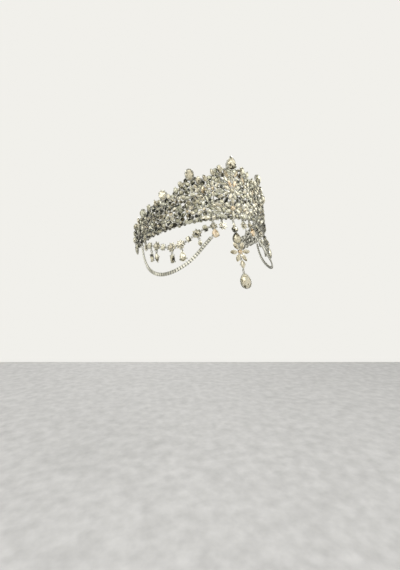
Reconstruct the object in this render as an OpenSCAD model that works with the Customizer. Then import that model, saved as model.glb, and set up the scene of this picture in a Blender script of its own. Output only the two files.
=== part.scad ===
// Bridal crown of cut stones on a soldered wire frame, with a forehead drop and draped side strands.
// It keeps the form that it has when worn. All lengths are in millimetres and all angles in degrees.
// +Z runs up the crown's axis, the front of the crown faces -Y, and the two sides mirror across X = 0.
// The origin is the centre of the head opening, in the plane of the rim's lower edge.

/* [Crown] */
// Radius of the rim, to the middle of its metal
rim_radius = 80; // [76:0.5:88]
// How far the open-backed rim reaches round each side, from the front
rim_reach = 110; // [108:1:116]
// Outward lean of the wall at the front, as run over rise; it fades away towards the sides
front_lean = 0.3; // [0.2:0.01:0.34]
// Height of the rim band
band_height = 2.6; // [2:0.1:3]
// Size of all the motifs on the wall, against their drawn size
motif_scale = 1; // [0.9:0.01:1]

/* [Wire] */
// Width of the soldered wires
wire_width = 1.1; // [0.9:0.1:1.4]
// Thickness of the soldered wires, through the wall
wire_depth = 1.2; // [1:0.1:1.4]
// Wall of the cup that holds a large stone
cup_wall = 0.6; // [0.5:0.05:0.8]

/* [Stones] */
// Clear gap between a stone and the metal behind or around it
stone_gap = 0.15; // [0.12:0.01:0.2]
// Height of a stone over its girdle, against its width
cut_height = 0.34; // [0.25:0.01:0.4]
// Size of the flat table on top of a stone, against its outline
table_share = 0.52; // [0.4:0.01:0.6]

/* [Rim row] */
// Step between the long stones of the rim row, round the crown
rim_step = 12.2; // [12:0.1:12.6]
// Length of a long rim stone
rim_stone_length = 10.4; // [9:0.1:10.8]
// Width of a long rim stone
rim_stone_width = 5.8; // [4.8:0.1:6]
// Width of the round rim stones between them
rim_round = 5; // [4:0.1:5.2]

/* [Forehead drop] */
// Width of the round stone at the top of the drop
drop_round = 6.4; // [5.6:0.1:6.8]
// Length of the pear stone under it
drop_pear_length = 12.2; // [11:0.1:12.6]
// Width of the pear stone
drop_pear_width = 9.4; // [8:0.1:9.8]
// Length of one petal of the hanging flower
drop_petal_length = 9; // [8:0.1:9.2]
// Width of one petal
drop_petal_width = 5; // [4:0.1:5.1]
// Length of the narrow stone under the flower
drop_navette_length = 8.8; // [8:0.1:9.4]
// Width of the narrow stone
drop_navette_width = 5.4; // [4.6:0.1:5.6]
// Length of the lowest, egg-shaped stone
drop_tear_length = 15.2; // [14:0.1:16]
// Width of the egg-shaped stone
drop_tear_width = 11.8; // [10.4:0.1:12]

/* [Links] */
// Thickness of a hanging setting's metal plate
plate = 1; // [0.9:0.05:1.1]
// Width of the hole in a setting's ear
ear_hole = 1.6; // [1.5:0.05:1.7]
// Metal round that hole
ear_wall = 0.5; // [0.4:0.05:0.55]
// Thickness of a jump ring's wire
ring_wire = 0.7; // [0.6:0.05:0.75]
// Distance between the two holes that a jump ring joins
ring_pitch = 3; // [2.95:0.05:3.1]

/* [Side drapes] */
// Thickness of the cup chain
chain_width = 4; // [3.4:0.1:4.4]

/* [Hidden] */
ROUND = 0;
OVAL = 1;
NAVETTE = 2;
PEAR = 3;
EGG = 4;
STAR = 5;
SIDES = ["left", "right"];
BACK_LIFT = wire_depth / 2 + stone_gap;
RIM_Z = band_height / 2;

// Flowers of one side, lower and upper row: place round the crown, height, petals, first petal's angle,
// angle between petals, petal length, petal width, width of the centre stone
LOWER_FLOWERS = [
    [21.6, 11, 5, -30, 60, 6.4, 3.8, 3.8],
    [33.8, 12.2, 5, -30, 60, 6.4, 3.8, 3.8],
    [46, 14.6, 6, -30, 60, 5.8, 4.2, 5],
    [58.2, 12.6, 5, -30, 60, 6.4, 3.8, 3.8],
    [70.4, 11.6, 5, -30, 60, 6.4, 3.8, 3.8],
    [82.6, 11.2, 3, 0, 90, 6.2, 3.8, 3.8],
];
UPPER_FLOWERS = [
    [14, 30.4, 6, -30, 60, 6, 3.8, 4],
    [27.8, 27, 5, -18, 54, 7.2, 4, 5],
    [40, 24.6, 5, -18, 54, 5.2, 3.6, 3.8],
    [52.2, 25.4, 3, 0, 90, 5.4, 3.4, 3.6],
    [64.2, 20.8, 3, 0, 90, 4.4, 3.4, 3.6],
    [76.4, 20.4, 3, 0, 90, 5, 3.4, 3.6],
];

// Parallel slanting stones beside the lower front flower: place, height, length, width, turn
SLANTS = [
    [13.6, 6.6, 6.4, 3.4, 150],
    [11.6, 9.4, 9, 3.6, 150],
    [11, 13.8, 9, 3.6, 148],
];

// Crest stones of one side, from the front to the back: place, height, length, width, turn, cut,
// then the place and height of the foot of the stem that holds the stone
CREST = [
    [8.2, 48.4, 8.6, 5.4, 98, OVAL, 8.2, 32],
    [12.9, 45.6, 7.6, 4.8, 112, NAVETTE, 14, 30.4],
    [18.2, 41, 7.6, 4.4, 112, NAVETTE, 14, 30.4],
    [22.8, 40, 8, 5, 78, OVAL, 21.6, RIM_Z],
    [27.6, 47.2, 11, 8.4, 90, OVAL, 27.8, 25],
    [34.4, 39.4, 8, 5.2, 108, OVAL, 33.8, RIM_Z],
    [38.6, 35.4, 8.4, 4.8, 96, NAVETTE, 40, 24.6],
    [44.8, 32.4, 7, 4.4, 104, NAVETTE, 46, 14.6],
    [49.2, 36.4, 10.2, 8.2, 96, OVAL, 46, 14.6],
    [56.8, 31.6, 8, 5, 100, NAVETTE, 58.2, RIM_Z],
    [64.4, 31.4, 7.4, 5.2, 98, OVAL, 64.2, 20.8],
    [73.2, 30, 9.6, 7.4, 95, OVAL, 70.4, RIM_Z],
    [81.6, 26.4, 8, 5, 100, NAVETTE, 82.6, RIM_Z],
    [89.6, 23.4, 8.6, 6.2, 95, OVAL, 89.6, RIM_Z],
    [97.4, 19.6, 7.4, 4.6, 98, NAVETTE, 97.4, RIM_Z],
    [104, 14.8, 7.4, 5.4, 96, OVAL, 104, RIM_Z],
];
CREST_PEAK = [0, 54.4, 13, 10.4, 90, PEAR];
// The two motifs on the middle line: place, height, petals, first angle, step, length, width, centre
FRONT_STAR = [0, 27.8, 8, 22.5, 45, 7.8, 4, 5.4];
FRONT_FLOWER = [0, 10.2, 6, 30, 60, 7, 4.2, 6];
// Depth of a stem or post against that of a hoop
STEM_DEPTH = 0.8;
// Share of a crest stone's length that its stem passes its middle by
STEM_SHARE = 0.3;
// Crest stones at least this wide sit in a cup, open at its back
CUP_FROM = 7;
CUP_RISE = 0.14;

// Straight posts behind the flowers: place and height of each foot and top
POSTS = [
    [[14, RIM_Z], [14, 30.4]],
    [[46, RIM_Z], [46, 14.6]],
    [[52.2, 25.4], [52.2, 31]],
    [[76.4, 20.4], [76.4, 26]],
];
// How far over and under the middle of the star burst the upper hoops pass
STAR_HOOP = 2.9;
// Half the reach of the two short bars behind its steep petals, and their height from its middle
STAR_BAR = [2.6, 6.2];
// How the hoops of each row end at the back, as places and heights
LOWER_END = [89.6, 11.2];
UPPER_JOIN = [49.2, 27.5];
UPPER_END = [89.6, 16];

// Side strand from the back star to the front one: cut, hole to hole, stone length, stone width,
// drop length (0 for none), drop width, drop cut
STRAND = [
    [OVAL, 6.8, 5.2, 7.4, 9.6, 5.6, OVAL],
    [STAR, 7.6, 10.2, 10.2, 9.6, 5.4, NAVETTE],
    [OVAL, 6.8, 5.2, 7, 0, 0, OVAL],
    [STAR, 7.6, 10.2, 10.2, 9.6, 5.6, OVAL],
    [STAR, 7.6, 10.2, 10.2, 11, 7.2, PEAR],
    [OVAL, 6.8, 5.2, 6.6, 0, 0, OVAL],
    [STAR, 7.6, 10.2, 10.2, 6.4, 4.2, NAVETTE],
    [OVAL, 6.8, 5.2, 7.4, 0, 0, OVAL],
];
// Places of the strand's two ends round the crown, and how far its middle hangs under them
STRAND_BACK = 78;
STRAND_FRONT = 16.7;
STRAND_SAG = 13.2;
// Width of the star at each end of the strand, and length and width of the pear stone under the front one
END_STAR = 8.2;
FRONT_PEAR = [10, 7.4];
// Place and width of the star that hangs beside the forehead drop
STAR_DROP_AT = 9.4;
STAR_DROP = 9.2;

// Route of the cup chain from the front pear to the back of the rim, as places and heights
CHAIN_ROUTE = [[20.8, -20.2], [23.6, -23.6], [26.5, -27], [30, -31.2], [34, -35.6], [39, -40],
    [45, -43.4], [51, -45.4], [57, -46], [63, -45], [69, -42], [75, -36.6], [79.5, -30],
    [82.4, -22], [83.8, -14], [84.2, -5.5]];
CHAIN_SIDES = 6;

// Height of the holes of the ears under the rim
RIM_EAR_Z = -1.3;
// Share of a star's width from its middle to an ear's hole, in a notch between two points
STAR_EAR = 0.37;
// Share of the end star's width from its middle to the pear stone under it
PEAR_TUCK = 0.36;
// Gap between a flower's centre stone and its petals
PETAL_GAP = 0.35;
// Facets round a stone, round a wide one, and the width from which it is wide
FACETS = 8;
WIDE_FACETS = 10;
WIDE_FROM = 5.8;
// Shoulder of a navette, against its length and width
NAVETTE_SHOULDER = [0.28, 0.36];
// How a pear and an egg narrow towards their upper ends, and how wide that leaves them before scaling
PEAR_TAPER = [0.7, 0.82];
EGG_TAPER = [0.3, 0.91];
// Points of a star, and how far out its notches are against them
STAR_POINTS = 8;
STAR_NOTCH = 0.52;
// Main stones: height of the girdle and size of the back, against the width and the outline
GIRDLE_SHARE = 0.14;
BACK_SHARE = 0.8;
// Stones fused to a hanging plate: size of the foot, height, and how deep they are sunk
PLATED_SHARE = 0.94;
PLATED_HEIGHT = 1.8;
SINK = 0.05;
// Stones in an open rim: size and depth of the back, and half the girdle, against the outline and width
OPEN_BACK = [0.35, 0.36];
OPEN_GIRDLE = 0.05;
// Place of the first long rim stone, height of the row's lower edge, and how many long and round stones
// a side has
RIM_FIRST = 9.4;
RIM_LIFT = -0.8;
RIM_STONES = 8;
RIM_ROUNDS = 5;
// From the end of a stone to the middle of its ear's hole, over a plate and over an open rim
EAR_REACH = ear_hole / 2 + 0.25;
RIM_EAR_REACH = ear_hole / 2 + 0.7;
EAR_RADIUS = ear_hole / 2 + ear_wall;
// Gap between the stones of the drop's top piece
STONE_STEP = 0.4;
// How far a cutting shape passes through the metal on each side
THROUGH = 1;

// Shape of the wall
function lean_run(theta) = front_lean * pow(max(cos(theta), 0), 2);
function wall_radius(theta, z) = rim_radius + lean_run(theta) * max(z, 0);
function lean_angle(theta, z) = z > 0 ? atan(lean_run(theta)) : 0;
function wall_point(theta, z, lift = 0) =
    let (r = wall_radius(theta, z) + lift)
    [-r * sin(theta), -r * cos(theta), z];
// Place reached from theta and z by going along the wall, right and up
function along_wall(theta, z, right, up) =
    let (z2 = z + up * cos(lean_angle(theta, z)))
    [theta - right / wall_radius(theta, z2) * 180 / PI, z2];

// Outlines of the cuts, longest along X
function ellipse(l, w, n) = [for (i = [0 : n - 1]) let (a = i * 360 / n) [l / 2 * cos(a), w / 2 * sin(a)]];
function navette_outline(l, w) =
    let (x = NAVETTE_SHOULDER[0] * l, y = NAVETTE_SHOULDER[1] * w)
    [[l / 2, 0], [x, y], [0, w / 2], [-x, y], [-l / 2, 0], [-x, -y], [0, -w / 2], [x, -y]];
function pear_outline(l, w, n, taper) = [
    for (i = [0 : n - 1])
        let (a = i * 360 / n)
        [l / 2 * cos(a), w / 2 * sin(a) * pow(abs(sin(a / 2)), taper[0]) / taper[1]]
];
function star_outline(l) = [
    for (i = [0 : 2 * STAR_POINTS - 1])
        let (a = (i + 1) * 180 / STAR_POINTS, r = l / 2 * (i % 2 == 0 ? 1 : STAR_NOTCH))
        [r * cos(a), r * sin(a)]
];
function outline(cut, l, w) =
    let (n = w >= WIDE_FROM ? WIDE_FACETS : FACETS)
    cut == ROUND ? ellipse(l, l, n) :
    cut == OVAL ? ellipse(l, w, n) :
    cut == NAVETTE ? navette_outline(l, w) :
    cut == PEAR ? pear_outline(l, w, n + 2, PEAR_TAPER) :
    cut == EGG ? pear_outline(l, w, n + 2, EGG_TAPER) :
    star_outline(l);

// Solid with one level after another of the same outline, each as [share of the outline, height]
module stacked(points, levels) {
    n = len(points);
    last = len(levels) - 1;
    foot = n * (last + 1);
    polyhedron(
        points = concat(
            [for (v = levels) for (p = points) [p[0] * v[0], p[1] * v[0], v[1]]],
            [[0, 0, levels[0][1]], [0, 0, levels[last][1]]]
        ),
        faces = concat(
            [for (i = [0 : n - 1]) [foot, i, (i + 1) % n]],
            [for (k = [0 : last - 1]) for (i = [0 : n - 1])
                [k * n + i, (k + 1) * n + i, (k + 1) * n + (i + 1) % n, k * n + (i + 1) % n]],
            [for (i = [0 : n - 1]) [foot + 1, last * n + (i + 1) % n, last * n + i]]
        )
    );
}

// Small stone: its facets rise from a flat back to the table
module small_stone(cut, l, w) {
    hull() stacked(outline(cut, l, w), [[1, 0], [table_share, cut_height * w]]);
}

// Main stone: a narrower back, a girdle, and facets up to the table
module main_stone(cut, l, w) {
    girdle = GIRDLE_SHARE * w;
    table = girdle + cut_height * w;
    hull() stacked(outline(cut, l, w), [[BACK_SHARE, 0], [1, girdle], [table_share, table]]);
}

// Open ring of metal round a main stone
module cup(cut, l, w) {
    points = outline(cut, l, w);
    outside = 1 + 2 * (stone_gap + cup_wall) / w;
    inside = 1 + 2 * stone_gap / w;
    linear_extrude(height = wire_depth + CUP_RISE * w)
        difference() {
            scale([outside, outside]) polygon(points);
            scale([inside, inside]) polygon(points);
        }
}

// Puts its children on the wall, facing out, turned anticlockwise as seen from outside
module on_wall(theta, z, turn = 0, lift = 0) {
    rotate([0, 0, -theta])
        translate([0, -wall_radius(theta, z), z])
            rotate([90 + lean_angle(theta, z), 0, 0])
                translate([0, 0, lift])
                    rotate([0, 0, turn])
                        children();
}

module side(name) {
    if (name == "right") mirror([1, 0, 0]) children();
    else children();
}

// Straight wire between two places on the wall
module wire(from, to) {
    a = wall_point(from[0], from[1]);
    b = wall_point(to[0], to[1]);
    out_a = wall_point(from[0], from[1], 1) - a;
    out_b = wall_point(to[0], to[1], 1) - b;
    along = (b - a) / norm(b - a);
    across_a = cross(out_a, along) * wire_width / 2;
    across_b = cross(out_b, along) * wire_width / 2;
    ends = [[a, out_a, across_a], [b, out_b, across_b]];
    corners = [
        for (e = ends) for (s = [[-1, -1], [1, -1], [1, 1], [-1, 1]])
            e[0] + s[0] * e[2] + s[1] * e[1] * wire_depth * STEM_DEPTH / 2
    ];
    hull() polyhedron(
        points = corners,
        faces = [[0, 1, 2, 3], [7, 6, 5, 4], [0, 4, 5, 1], [1, 5, 6, 2], [2, 6, 7, 3], [3, 7, 4, 0]]
    );
}

// Place on the petal of flower f that points along angle a, at a share of its length
function petal_place(f, a, share) =
    let (d = f[7] / 2 + PETAL_GAP + f[5] * share)
    along_wall(f[0], f[1], d * cos(a), d * sin(a));

// Stones of one flower, each as place, height, length, width, turn, cut
function petals(f) = [
    for (i = [0 : f[2] - 1])
        let (a = f[3] + i * f[4], p = petal_place(f, a, 0.5))
        [p[0], p[1], f[5] * motif_scale, f[6] * motif_scale, a, NAVETTE]
];
function heart(f) = [f[0], f[1], f[7], f[7], 0, ROUND];
function rim_row() = [
    for (i = [0 : RIM_STONES - 1])
        let (theta = RIM_FIRST + i * rim_step)
        each concat(
            [[theta, rim_stone_width / 2 + RIM_LIFT, rim_stone_length, rim_stone_width, 0, NAVETTE]],
            i < RIM_ROUNDS ?
                [[theta + rim_step / 2, rim_round / 2 + RIM_LIFT, rim_round, rim_round, 0, ROUND]] : []
        )
];
function field_stones() = concat(
    rim_row(),
    [for (s = SLANTS) [s[0], s[1], s[2], s[3], s[4], NAVETTE]],
    [for (f = concat(LOWER_FLOWERS, UPPER_FLOWERS)) each concat(petals(f), [heart(f)])]
);

// Puts a small stone of a list in its place
module set_small(s) {
    on_wall(s[0], s[1], s[4], BACK_LIFT) small_stone(s[5], s[2], s[3]);
}

// Ear under the rim, with its hole, for a jump ring
module rim_ear(theta) {
    on_wall(theta, RIM_EAR_Z, 0, -plate / 2)
        difference() {
            translate([-EAR_RADIUS, -EAR_RADIUS, 0])
                cube([2 * EAR_RADIUS, EAR_RADIUS + band_height / 2 - RIM_EAR_Z, plate]);
            translate([0, 0, -THROUGH]) cylinder(d = ear_hole, h = plate + 2 * THROUGH, $fn = 8);
        }
}

// Route of a hoop behind petal k of every flower of a row
function row_route(row, k) = [
    for (f = row)
        [f[0], petal_place(f, f[3] + k * f[4], 0.5)[1]]
];
// First n flowers of a row
function first(row, n) = [for (i = [0 : n - 1]) row[i]];
// A route with its mirrored other side
function both_ways(route) = concat(
    [for (i = [len(route) - 1 : -1 : 1]) [-route[i][0], route[i][1]]],
    route
);

// Square wire along a route that starts on the middle line
module hoop(route) {
    tube(both_ways(route), [
        for (c = [[-1, -1], [1, -1], [1, 1], [-1, 1]]) [c[0] * wire_depth / 2, c[1] * wire_width / 2]
    ]);
}

module hoops() {
    low = petal_place(FRONT_FLOWER, 210, 0.5);
    high = petal_place(FRONT_FLOWER, 150, 0.5);
    hoop(concat([[0, low[1]]], row_route(LOWER_FLOWERS, 0), [LOWER_END]));
    hoop(concat([[0, high[1]]], row_route(first(LOWER_FLOWERS, 5), 1), [LOWER_END]));
    hoop(concat([[0, FRONT_STAR[1] - STAR_HOOP]], row_route(UPPER_FLOWERS, 0), [UPPER_END]));
    hoop(concat([[0, FRONT_STAR[1] + STAR_HOOP]], row_route(first(UPPER_FLOWERS, 3), 1), [UPPER_JOIN]));
}

// One side's stems, posts, cups and ears
module half_frame() {
    for (p = POSTS) wire(p[0], p[1]);
    for (c = CREST) {
        wire([c[6], c[7]], [c[0], c[1] + c[2] * STEM_SHARE]);
        if (c[3] >= CUP_FROM) on_wall(c[0], c[1], c[4], -wire_depth / 2) cup(c[5], c[2], c[3]);
    }
    for (theta = [STAR_DROP_AT, STRAND_FRONT_AT, STRAND_BACK, CHAIN_ROUTE[len(CHAIN_ROUTE) - 1][0]])
        rim_ear(theta);
}

module crown_frame() {
    color("silver") {
        rotate([0, 0, 270 - rim_reach])
            rotate_extrude(angle = 2 * rim_reach, $fn = 48)
                translate([rim_radius - wire_depth / 2, 0]) square([wire_depth, band_height]);
        hoops();
        for (s = SIDES) side(s) half_frame();
        for (z = [FRONT_STAR[1] - STAR_BAR[1], FRONT_STAR[1] + STAR_BAR[1]])
            wire([-STAR_BAR[0], z], [STAR_BAR[0], z]);
        for (f = [FRONT_STAR, FRONT_FLOWER]) on_wall(f[0], f[1], 0, -wire_depth / 2) cup(ROUND, f[7], f[7]);
        wire([0, RIM_Z], [0, CREST_PEAK[1]]);
        on_wall(CREST_PEAK[0], CREST_PEAK[1], CREST_PEAK[4], -wire_depth / 2)
            cup(CREST_PEAK[5], CREST_PEAK[2], CREST_PEAK[3]);
        rim_ear(0);
    }
}

// All the small stones of one side of the wall
module wall_stones(name) {
    color("gainsboro") side(name) for (s = field_stones()) set_small(s);
}

module front_petals() {
    color("gainsboro") for (f = [FRONT_STAR, FRONT_FLOWER]) for (s = petals(f)) set_small(s);
}

module front_heart(f) {
    color("navajowhite") on_wall(f[0], f[1], 0, BACK_LIFT) main_stone(ROUND, f[7], f[7]);
}

module crest_stone(c, name = "left") {
    color("whitesmoke") side(name) on_wall(c[0], c[1], c[4], BACK_LIFT) main_stone(c[5], c[2], c[3]);
}

// Round wire ring through two ears, in the plane that faces across them
module jump_ring(theta, z, turn) {
    on_wall(theta, z, turn)
        rotate([90, 0, 0])
            rotate_extrude($fn = 32) translate([ring_pitch / 2, 0]) circle(d = ring_wire, $fn = 16);
}

// Puts its children where an outline [x, y, cut, length, width, turn] is
module placed(o) {
    translate([o[0], o[1], 0]) rotate(o[5]) children();
}
// That outline as a flat sheet, widened by a margin all round
module sheet(o, margin, thickness = plate) {
    placed(o)
        linear_extrude(height = thickness)
            scale([1 + 2 * margin / o[4], 1 + 2 * margin / o[4]])
                polygon(outline(o[2], o[3], o[4]));
}

// Metal of a hanging piece: open rims round its large stones, flat plates behind its small ones, ears
// with holes, as [x, y], and the ends of bars that hold the outer plates
module setting(rims, plates, holes, bars = []) {
    difference() {
        union() {
            for (o = rims) sheet(o, stone_gap + cup_wall);
            for (o = plates) sheet(o, 0);
            for (h = holes) translate([h[0], h[1], 0]) cylinder(r = EAR_RADIUS, h = plate, $fn = 24);
            for (b = concat(holes, bars))
                rotate(atan2(b[1], b[0]))
                    translate([0, -wire_width / 2, 0]) cube([norm(b), wire_width, plate]);
        }
        for (o = rims) translate([0, 0, -THROUGH]) sheet(o, stone_gap, plate + 2 * THROUGH);
        for (h = holes)
            translate([h[0], h[1], -THROUGH]) cylinder(d = ear_hole, h = plate + 2 * THROUGH, $fn = 24);
    }
}

// Stone on a plate, sunk into it, and the same with its plate and ears
module fused_stone(cut, l, w) {
    translate([0, 0, plate - SINK])
        stacked(outline(cut, l, w), [[PLATED_SHARE, 0], [table_share, PLATED_HEIGHT]]);
}
module plated(cut, l, w, holes) {
    setting([], [[0, 0, cut, l, w, 0]], holes);
    fused_stone(cut, l, w);
}

// Stone that hangs by a ring from an ear whose hole is at theta and z
module hung_stone(theta, z, cut, l, w) {
    jump_ring(theta, z - ring_pitch / 2, 90);
    on_wall(theta, z - ring_pitch - EAR_REACH - l / 2, 90, -plate / 2)
        plated(cut, l, w, [[l / 2 + EAR_REACH, 0]]);
}

// Side strand: its height at a place, and the way along it up to each degree round the crown
function strand_height(theta) =
    let (u = (theta - STRAND_FRONT) / (STRAND_BACK - STRAND_FRONT))
    STRAND_TOP - STRAND_SAG * pow(sin(180 * u), 2);
function strand_step(i) =
    norm([rim_radius * PI / 180, strand_height(STRAND_BACK - i) - strand_height(STRAND_BACK - i - 1)]);
STRAND_TOP = RIM_EAR_Z - ring_pitch - END_STAR * STAR_EAR;
STRAND_DEGREES = 68;
STRAND_TABLE = [
    for (i = 0, s = 0; i <= STRAND_DEGREES; s = s + strand_step(i), i = i + 1)
        [s, STRAND_BACK - i]
];
function strand_at(s) = let (theta = lookup(s, STRAND_TABLE)) [theta, strand_height(theta)];
// Way along the strand to the first hole of piece k
function strand_start(k) =
    k == 0 ? END_STAR * STAR_EAR + ring_pitch : strand_start(k - 1) + STRAND[k - 1][1] + ring_pitch;
function strand_turn(a, b) = atan2(b[1] - a[1], (a[0] - b[0]) * rim_radius * PI / 180);
STRAND_END = strand_start(len(STRAND)) + END_STAR * STAR_EAR;
STRAND_FRONT_AT = strand_at(STRAND_END)[0];

module strand(name) {
    color("lightgray") side(name) {
        for (k = [0 : len(STRAND) - 1]) {
            e = STRAND[k];
            a = strand_at(strand_start(k));
            b = strand_at(strand_start(k) + e[1]);
            middle = (a + b) / 2;
            turn = strand_turn(a, b);
            down = [-sin(turn), -cos(turn)];
            below = e[0] == STAR ? [0, -STAR_EAR * e[3]] : (e[3] / 2 + EAR_REACH) * down;
            across = [cos(turn), -sin(turn)];
            hole = along_wall(middle[0], middle[1], below * across, -below * down);
            on_wall(middle[0], middle[1], turn, -plate / 2)
                plated(e[0], e[2], e[3], concat([[-e[1] / 2, 0], [e[1] / 2, 0]], e[4] > 0 ? [below] : []));
            if (e[4] > 0) hung_stone(hole[0], hole[1], e[6], e[4], e[5]);
        }
        for (k = [0 : len(STRAND)]) {
            a = strand_at(strand_start(k) - ring_pitch);
            b = strand_at(strand_start(k));
            jump_ring((a[0] + b[0]) / 2, (a[1] + b[1]) / 2, strand_turn(a, b));
        }
        ear = END_STAR * STAR_EAR;
        for (theta = [STRAND_BACK, STRAND_FRONT_AT]) jump_ring(theta, RIM_EAR_Z - ring_pitch / 2, 90);
        on_wall(STRAND_BACK, STRAND_TOP, 0, -plate / 2)
            plated(STAR, END_STAR, END_STAR, [[ear, 0], [0, ear]]);
        on_wall(STRAND_FRONT_AT, STRAND_TOP, 0, -plate / 2) {
            plated(STAR, END_STAR, END_STAR, [[-ear, 0], [0, ear]]);
            translate([0, -END_STAR * PEAR_TUCK - FRONT_PEAR[0] / 2, 0]) rotate(90)
                plated(PEAR, FRONT_PEAR[0], FRONT_PEAR[1], []);
            translate([-wire_width / 2, -END_STAR * PEAR_TUCK - FRONT_PEAR[0] / 2, 0])
                cube([wire_width, END_STAR * PEAR_TUCK + FRONT_PEAR[0] / 2, plate]);
        }
    }
}

// Star that hangs from the rim beside the forehead drop
module star_drop(name) {
    reach = STAR_DROP * STAR_EAR;
    color("lightgray") side(name) {
        jump_ring(STAR_DROP_AT, RIM_EAR_Z - ring_pitch / 2, 90);
        on_wall(STAR_DROP_AT, RIM_EAR_Z - ring_pitch - reach, 0, -plate / 2)
            plated(STAR, STAR_DROP, STAR_DROP, [[0, reach]]);
    }
}

// Rod along a route on the wall; its section is given as [out of the wall, across the rod]
module tube(route, section) {
    last = len(route) - 1;
    sides = len(section);
    middle = [for (p = route) wall_point(p[0], p[1])];
    rings = [
        for (i = [0 : last])
            let (
                ahead = middle[min(i + 1, last)] - middle[max(i - 1, 0)],
                out = wall_point(route[i][0], route[i][1], 1) - middle[i],
                across = cross(out, ahead)
            )
            for (c = section) middle[i] + c[0] * out + c[1] * across / norm(across)
    ];
    polyhedron(
        points = rings,
        faces = concat(
            [[for (k = [sides - 1 : -1 : 0]) k]],
            [for (i = [0 : last - 1]) for (k = [0 : sides - 1])
                let (next = (k + 1) % sides, foot = i * sides, top = foot + sides)
                [foot + k, foot + next, top + next, top + k]],
            [[for (k = [0 : sides - 1]) last * sides + k]]
        )
    );
}

module cup_chain(name) {
    color("silver") side(name)
        tube(CHAIN_ROUTE, [
            for (k = [0 : CHAIN_SIDES - 1])
                let (a = k * 360 / CHAIN_SIDES)
                chain_width / 2 * [cos(a), sin(a)]
        ]);
}

// Forehead drop, from the rim down; each level hangs from the hole above it
function ring_under(z) = z - ring_pitch;
TOP_HOLE = ring_under(RIM_EAR_Z);
SMALL_ROUND = 3.2;
SMALL_ROUND_Z = TOP_HOLE - EAR_REACH - SMALL_ROUND / 2;
DROP_ROUND_Z = SMALL_ROUND_Z - (SMALL_ROUND + drop_round) / 2 - STONE_STEP;
DROP_PEAR_Z = DROP_ROUND_Z - (drop_round + drop_pear_length) / 2 - STONE_STEP;
PEAR_HOLE = DROP_PEAR_Z - drop_pear_length / 2 - RIM_EAR_REACH;
FLOWER_EAR = 5.2;
DROP_HEART = 5.4;
FLOWER_Z = ring_under(PEAR_HOLE) - FLOWER_EAR;
FLOWER_HOLE = FLOWER_Z - FLOWER_EAR;
LINK_TOP = ring_under(FLOWER_HOLE);
LINK_Z = LINK_TOP - EAR_REACH - drop_navette_length / 2;
LINK_HOLE = LINK_Z - drop_navette_length / 2 - EAR_REACH;
TEAR_TOP = ring_under(LINK_HOLE);
TEAR_Z = TEAR_TOP - RIM_EAR_REACH - drop_tear_length / 2;
DROP_PETAL_REACH = DROP_HEART / 2 + PETAL_GAP + drop_petal_length / 2;

// Places its children in front of the middle of the rim, facing forward
module hanging(z, turn = 0, lift = 0) {
    on_wall(0, z, turn, lift) children();
}

module drop_ring(upper_hole) {
    color("silver") jump_ring(0, upper_hole - ring_pitch / 2, 90);
}

module drop_top_setting() {
    color("silver") hanging(DROP_ROUND_Z, 0, -plate / 2) {
        setting([
            [0, 0, ROUND, drop_round, drop_round, 90],
            [0, DROP_PEAR_Z - DROP_ROUND_Z, PEAR, drop_pear_length, drop_pear_width, 90]
        ], [
            [0, SMALL_ROUND_Z - DROP_ROUND_Z, ROUND, SMALL_ROUND, SMALL_ROUND, 0]
        ], [[0, TOP_HOLE - DROP_ROUND_Z], [0, PEAR_HOLE - DROP_ROUND_Z]]);
        translate([0, SMALL_ROUND_Z - DROP_ROUND_Z, 0]) fused_stone(ROUND, SMALL_ROUND, SMALL_ROUND);
    }
}

// Stone held round its middle by an open rim: facets rise to the table and taper to the back
module open_stone(z, cut, l, w) {
    girdle = OPEN_GIRDLE * w;
    color("whitesmoke") hanging(z, 90, 0)
        hull() stacked(outline(cut, l, w), [
            [OPEN_BACK[0], -OPEN_BACK[1] * w],
            [1, -girdle],
            [1, girdle],
            [table_share, cut_height * w]
        ]);
}

// Stone in front of a plate
module drop_stone(z, cut, l, w) {
    color("whitesmoke") hanging(z, 90, plate / 2 + stone_gap) main_stone(cut, l, w);
}

module drop_round_stone() {
    open_stone(DROP_ROUND_Z, ROUND, drop_round, drop_round);
}

module drop_pear_stone() {
    open_stone(DROP_PEAR_Z, PEAR, drop_pear_length, drop_pear_width);
}

module drop_link_stone() {
    drop_stone(LINK_Z, NAVETTE, drop_navette_length, drop_navette_width);
}

module drop_tear_stone() {
    open_stone(TEAR_Z, EGG, drop_tear_length, drop_tear_width);
}

module drop_flower_setting() {
    petal_middles = [for (i = [0 : 5]) DROP_PETAL_REACH * [cos(60 * i), sin(60 * i)]];
    color("silver") hanging(FLOWER_Z, 0, -plate / 2)
        setting([], concat(
            [[0, 0, ROUND, DROP_HEART, DROP_HEART, 0]],
            [for (i = [0 : 5]) [petal_middles[i][0], petal_middles[i][1],
                NAVETTE, drop_petal_length, drop_petal_width, 60 * i]]
        ), [[0, FLOWER_EAR], [0, -FLOWER_EAR]], petal_middles);
}

module drop_flower_petals() {
    color("gainsboro")
        for (i = [0 : 5])
            hanging(FLOWER_Z, 60 * i, plate / 2 + stone_gap)
                translate([DROP_PETAL_REACH, 0, 0])
                    small_stone(NAVETTE, drop_petal_length, drop_petal_width);
}

module drop_link_setting() {
    color("silver") hanging(LINK_Z, 0, -plate / 2)
        setting([], [[0, 0, NAVETTE, drop_navette_length, drop_navette_width, 90]],
            [[0, LINK_TOP - LINK_Z], [0, LINK_HOLE - LINK_Z]]);
}

module drop_tear_setting() {
    color("silver") hanging(TEAR_Z, 0, -plate / 2)
        setting([[0, 0, EGG, drop_tear_length, drop_tear_width, 90]], [], [[0, TEAR_TOP - TEAR_Z]]);
}

function crest_name(name, i) = str("crest_", name, "_", i + 1);

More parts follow.
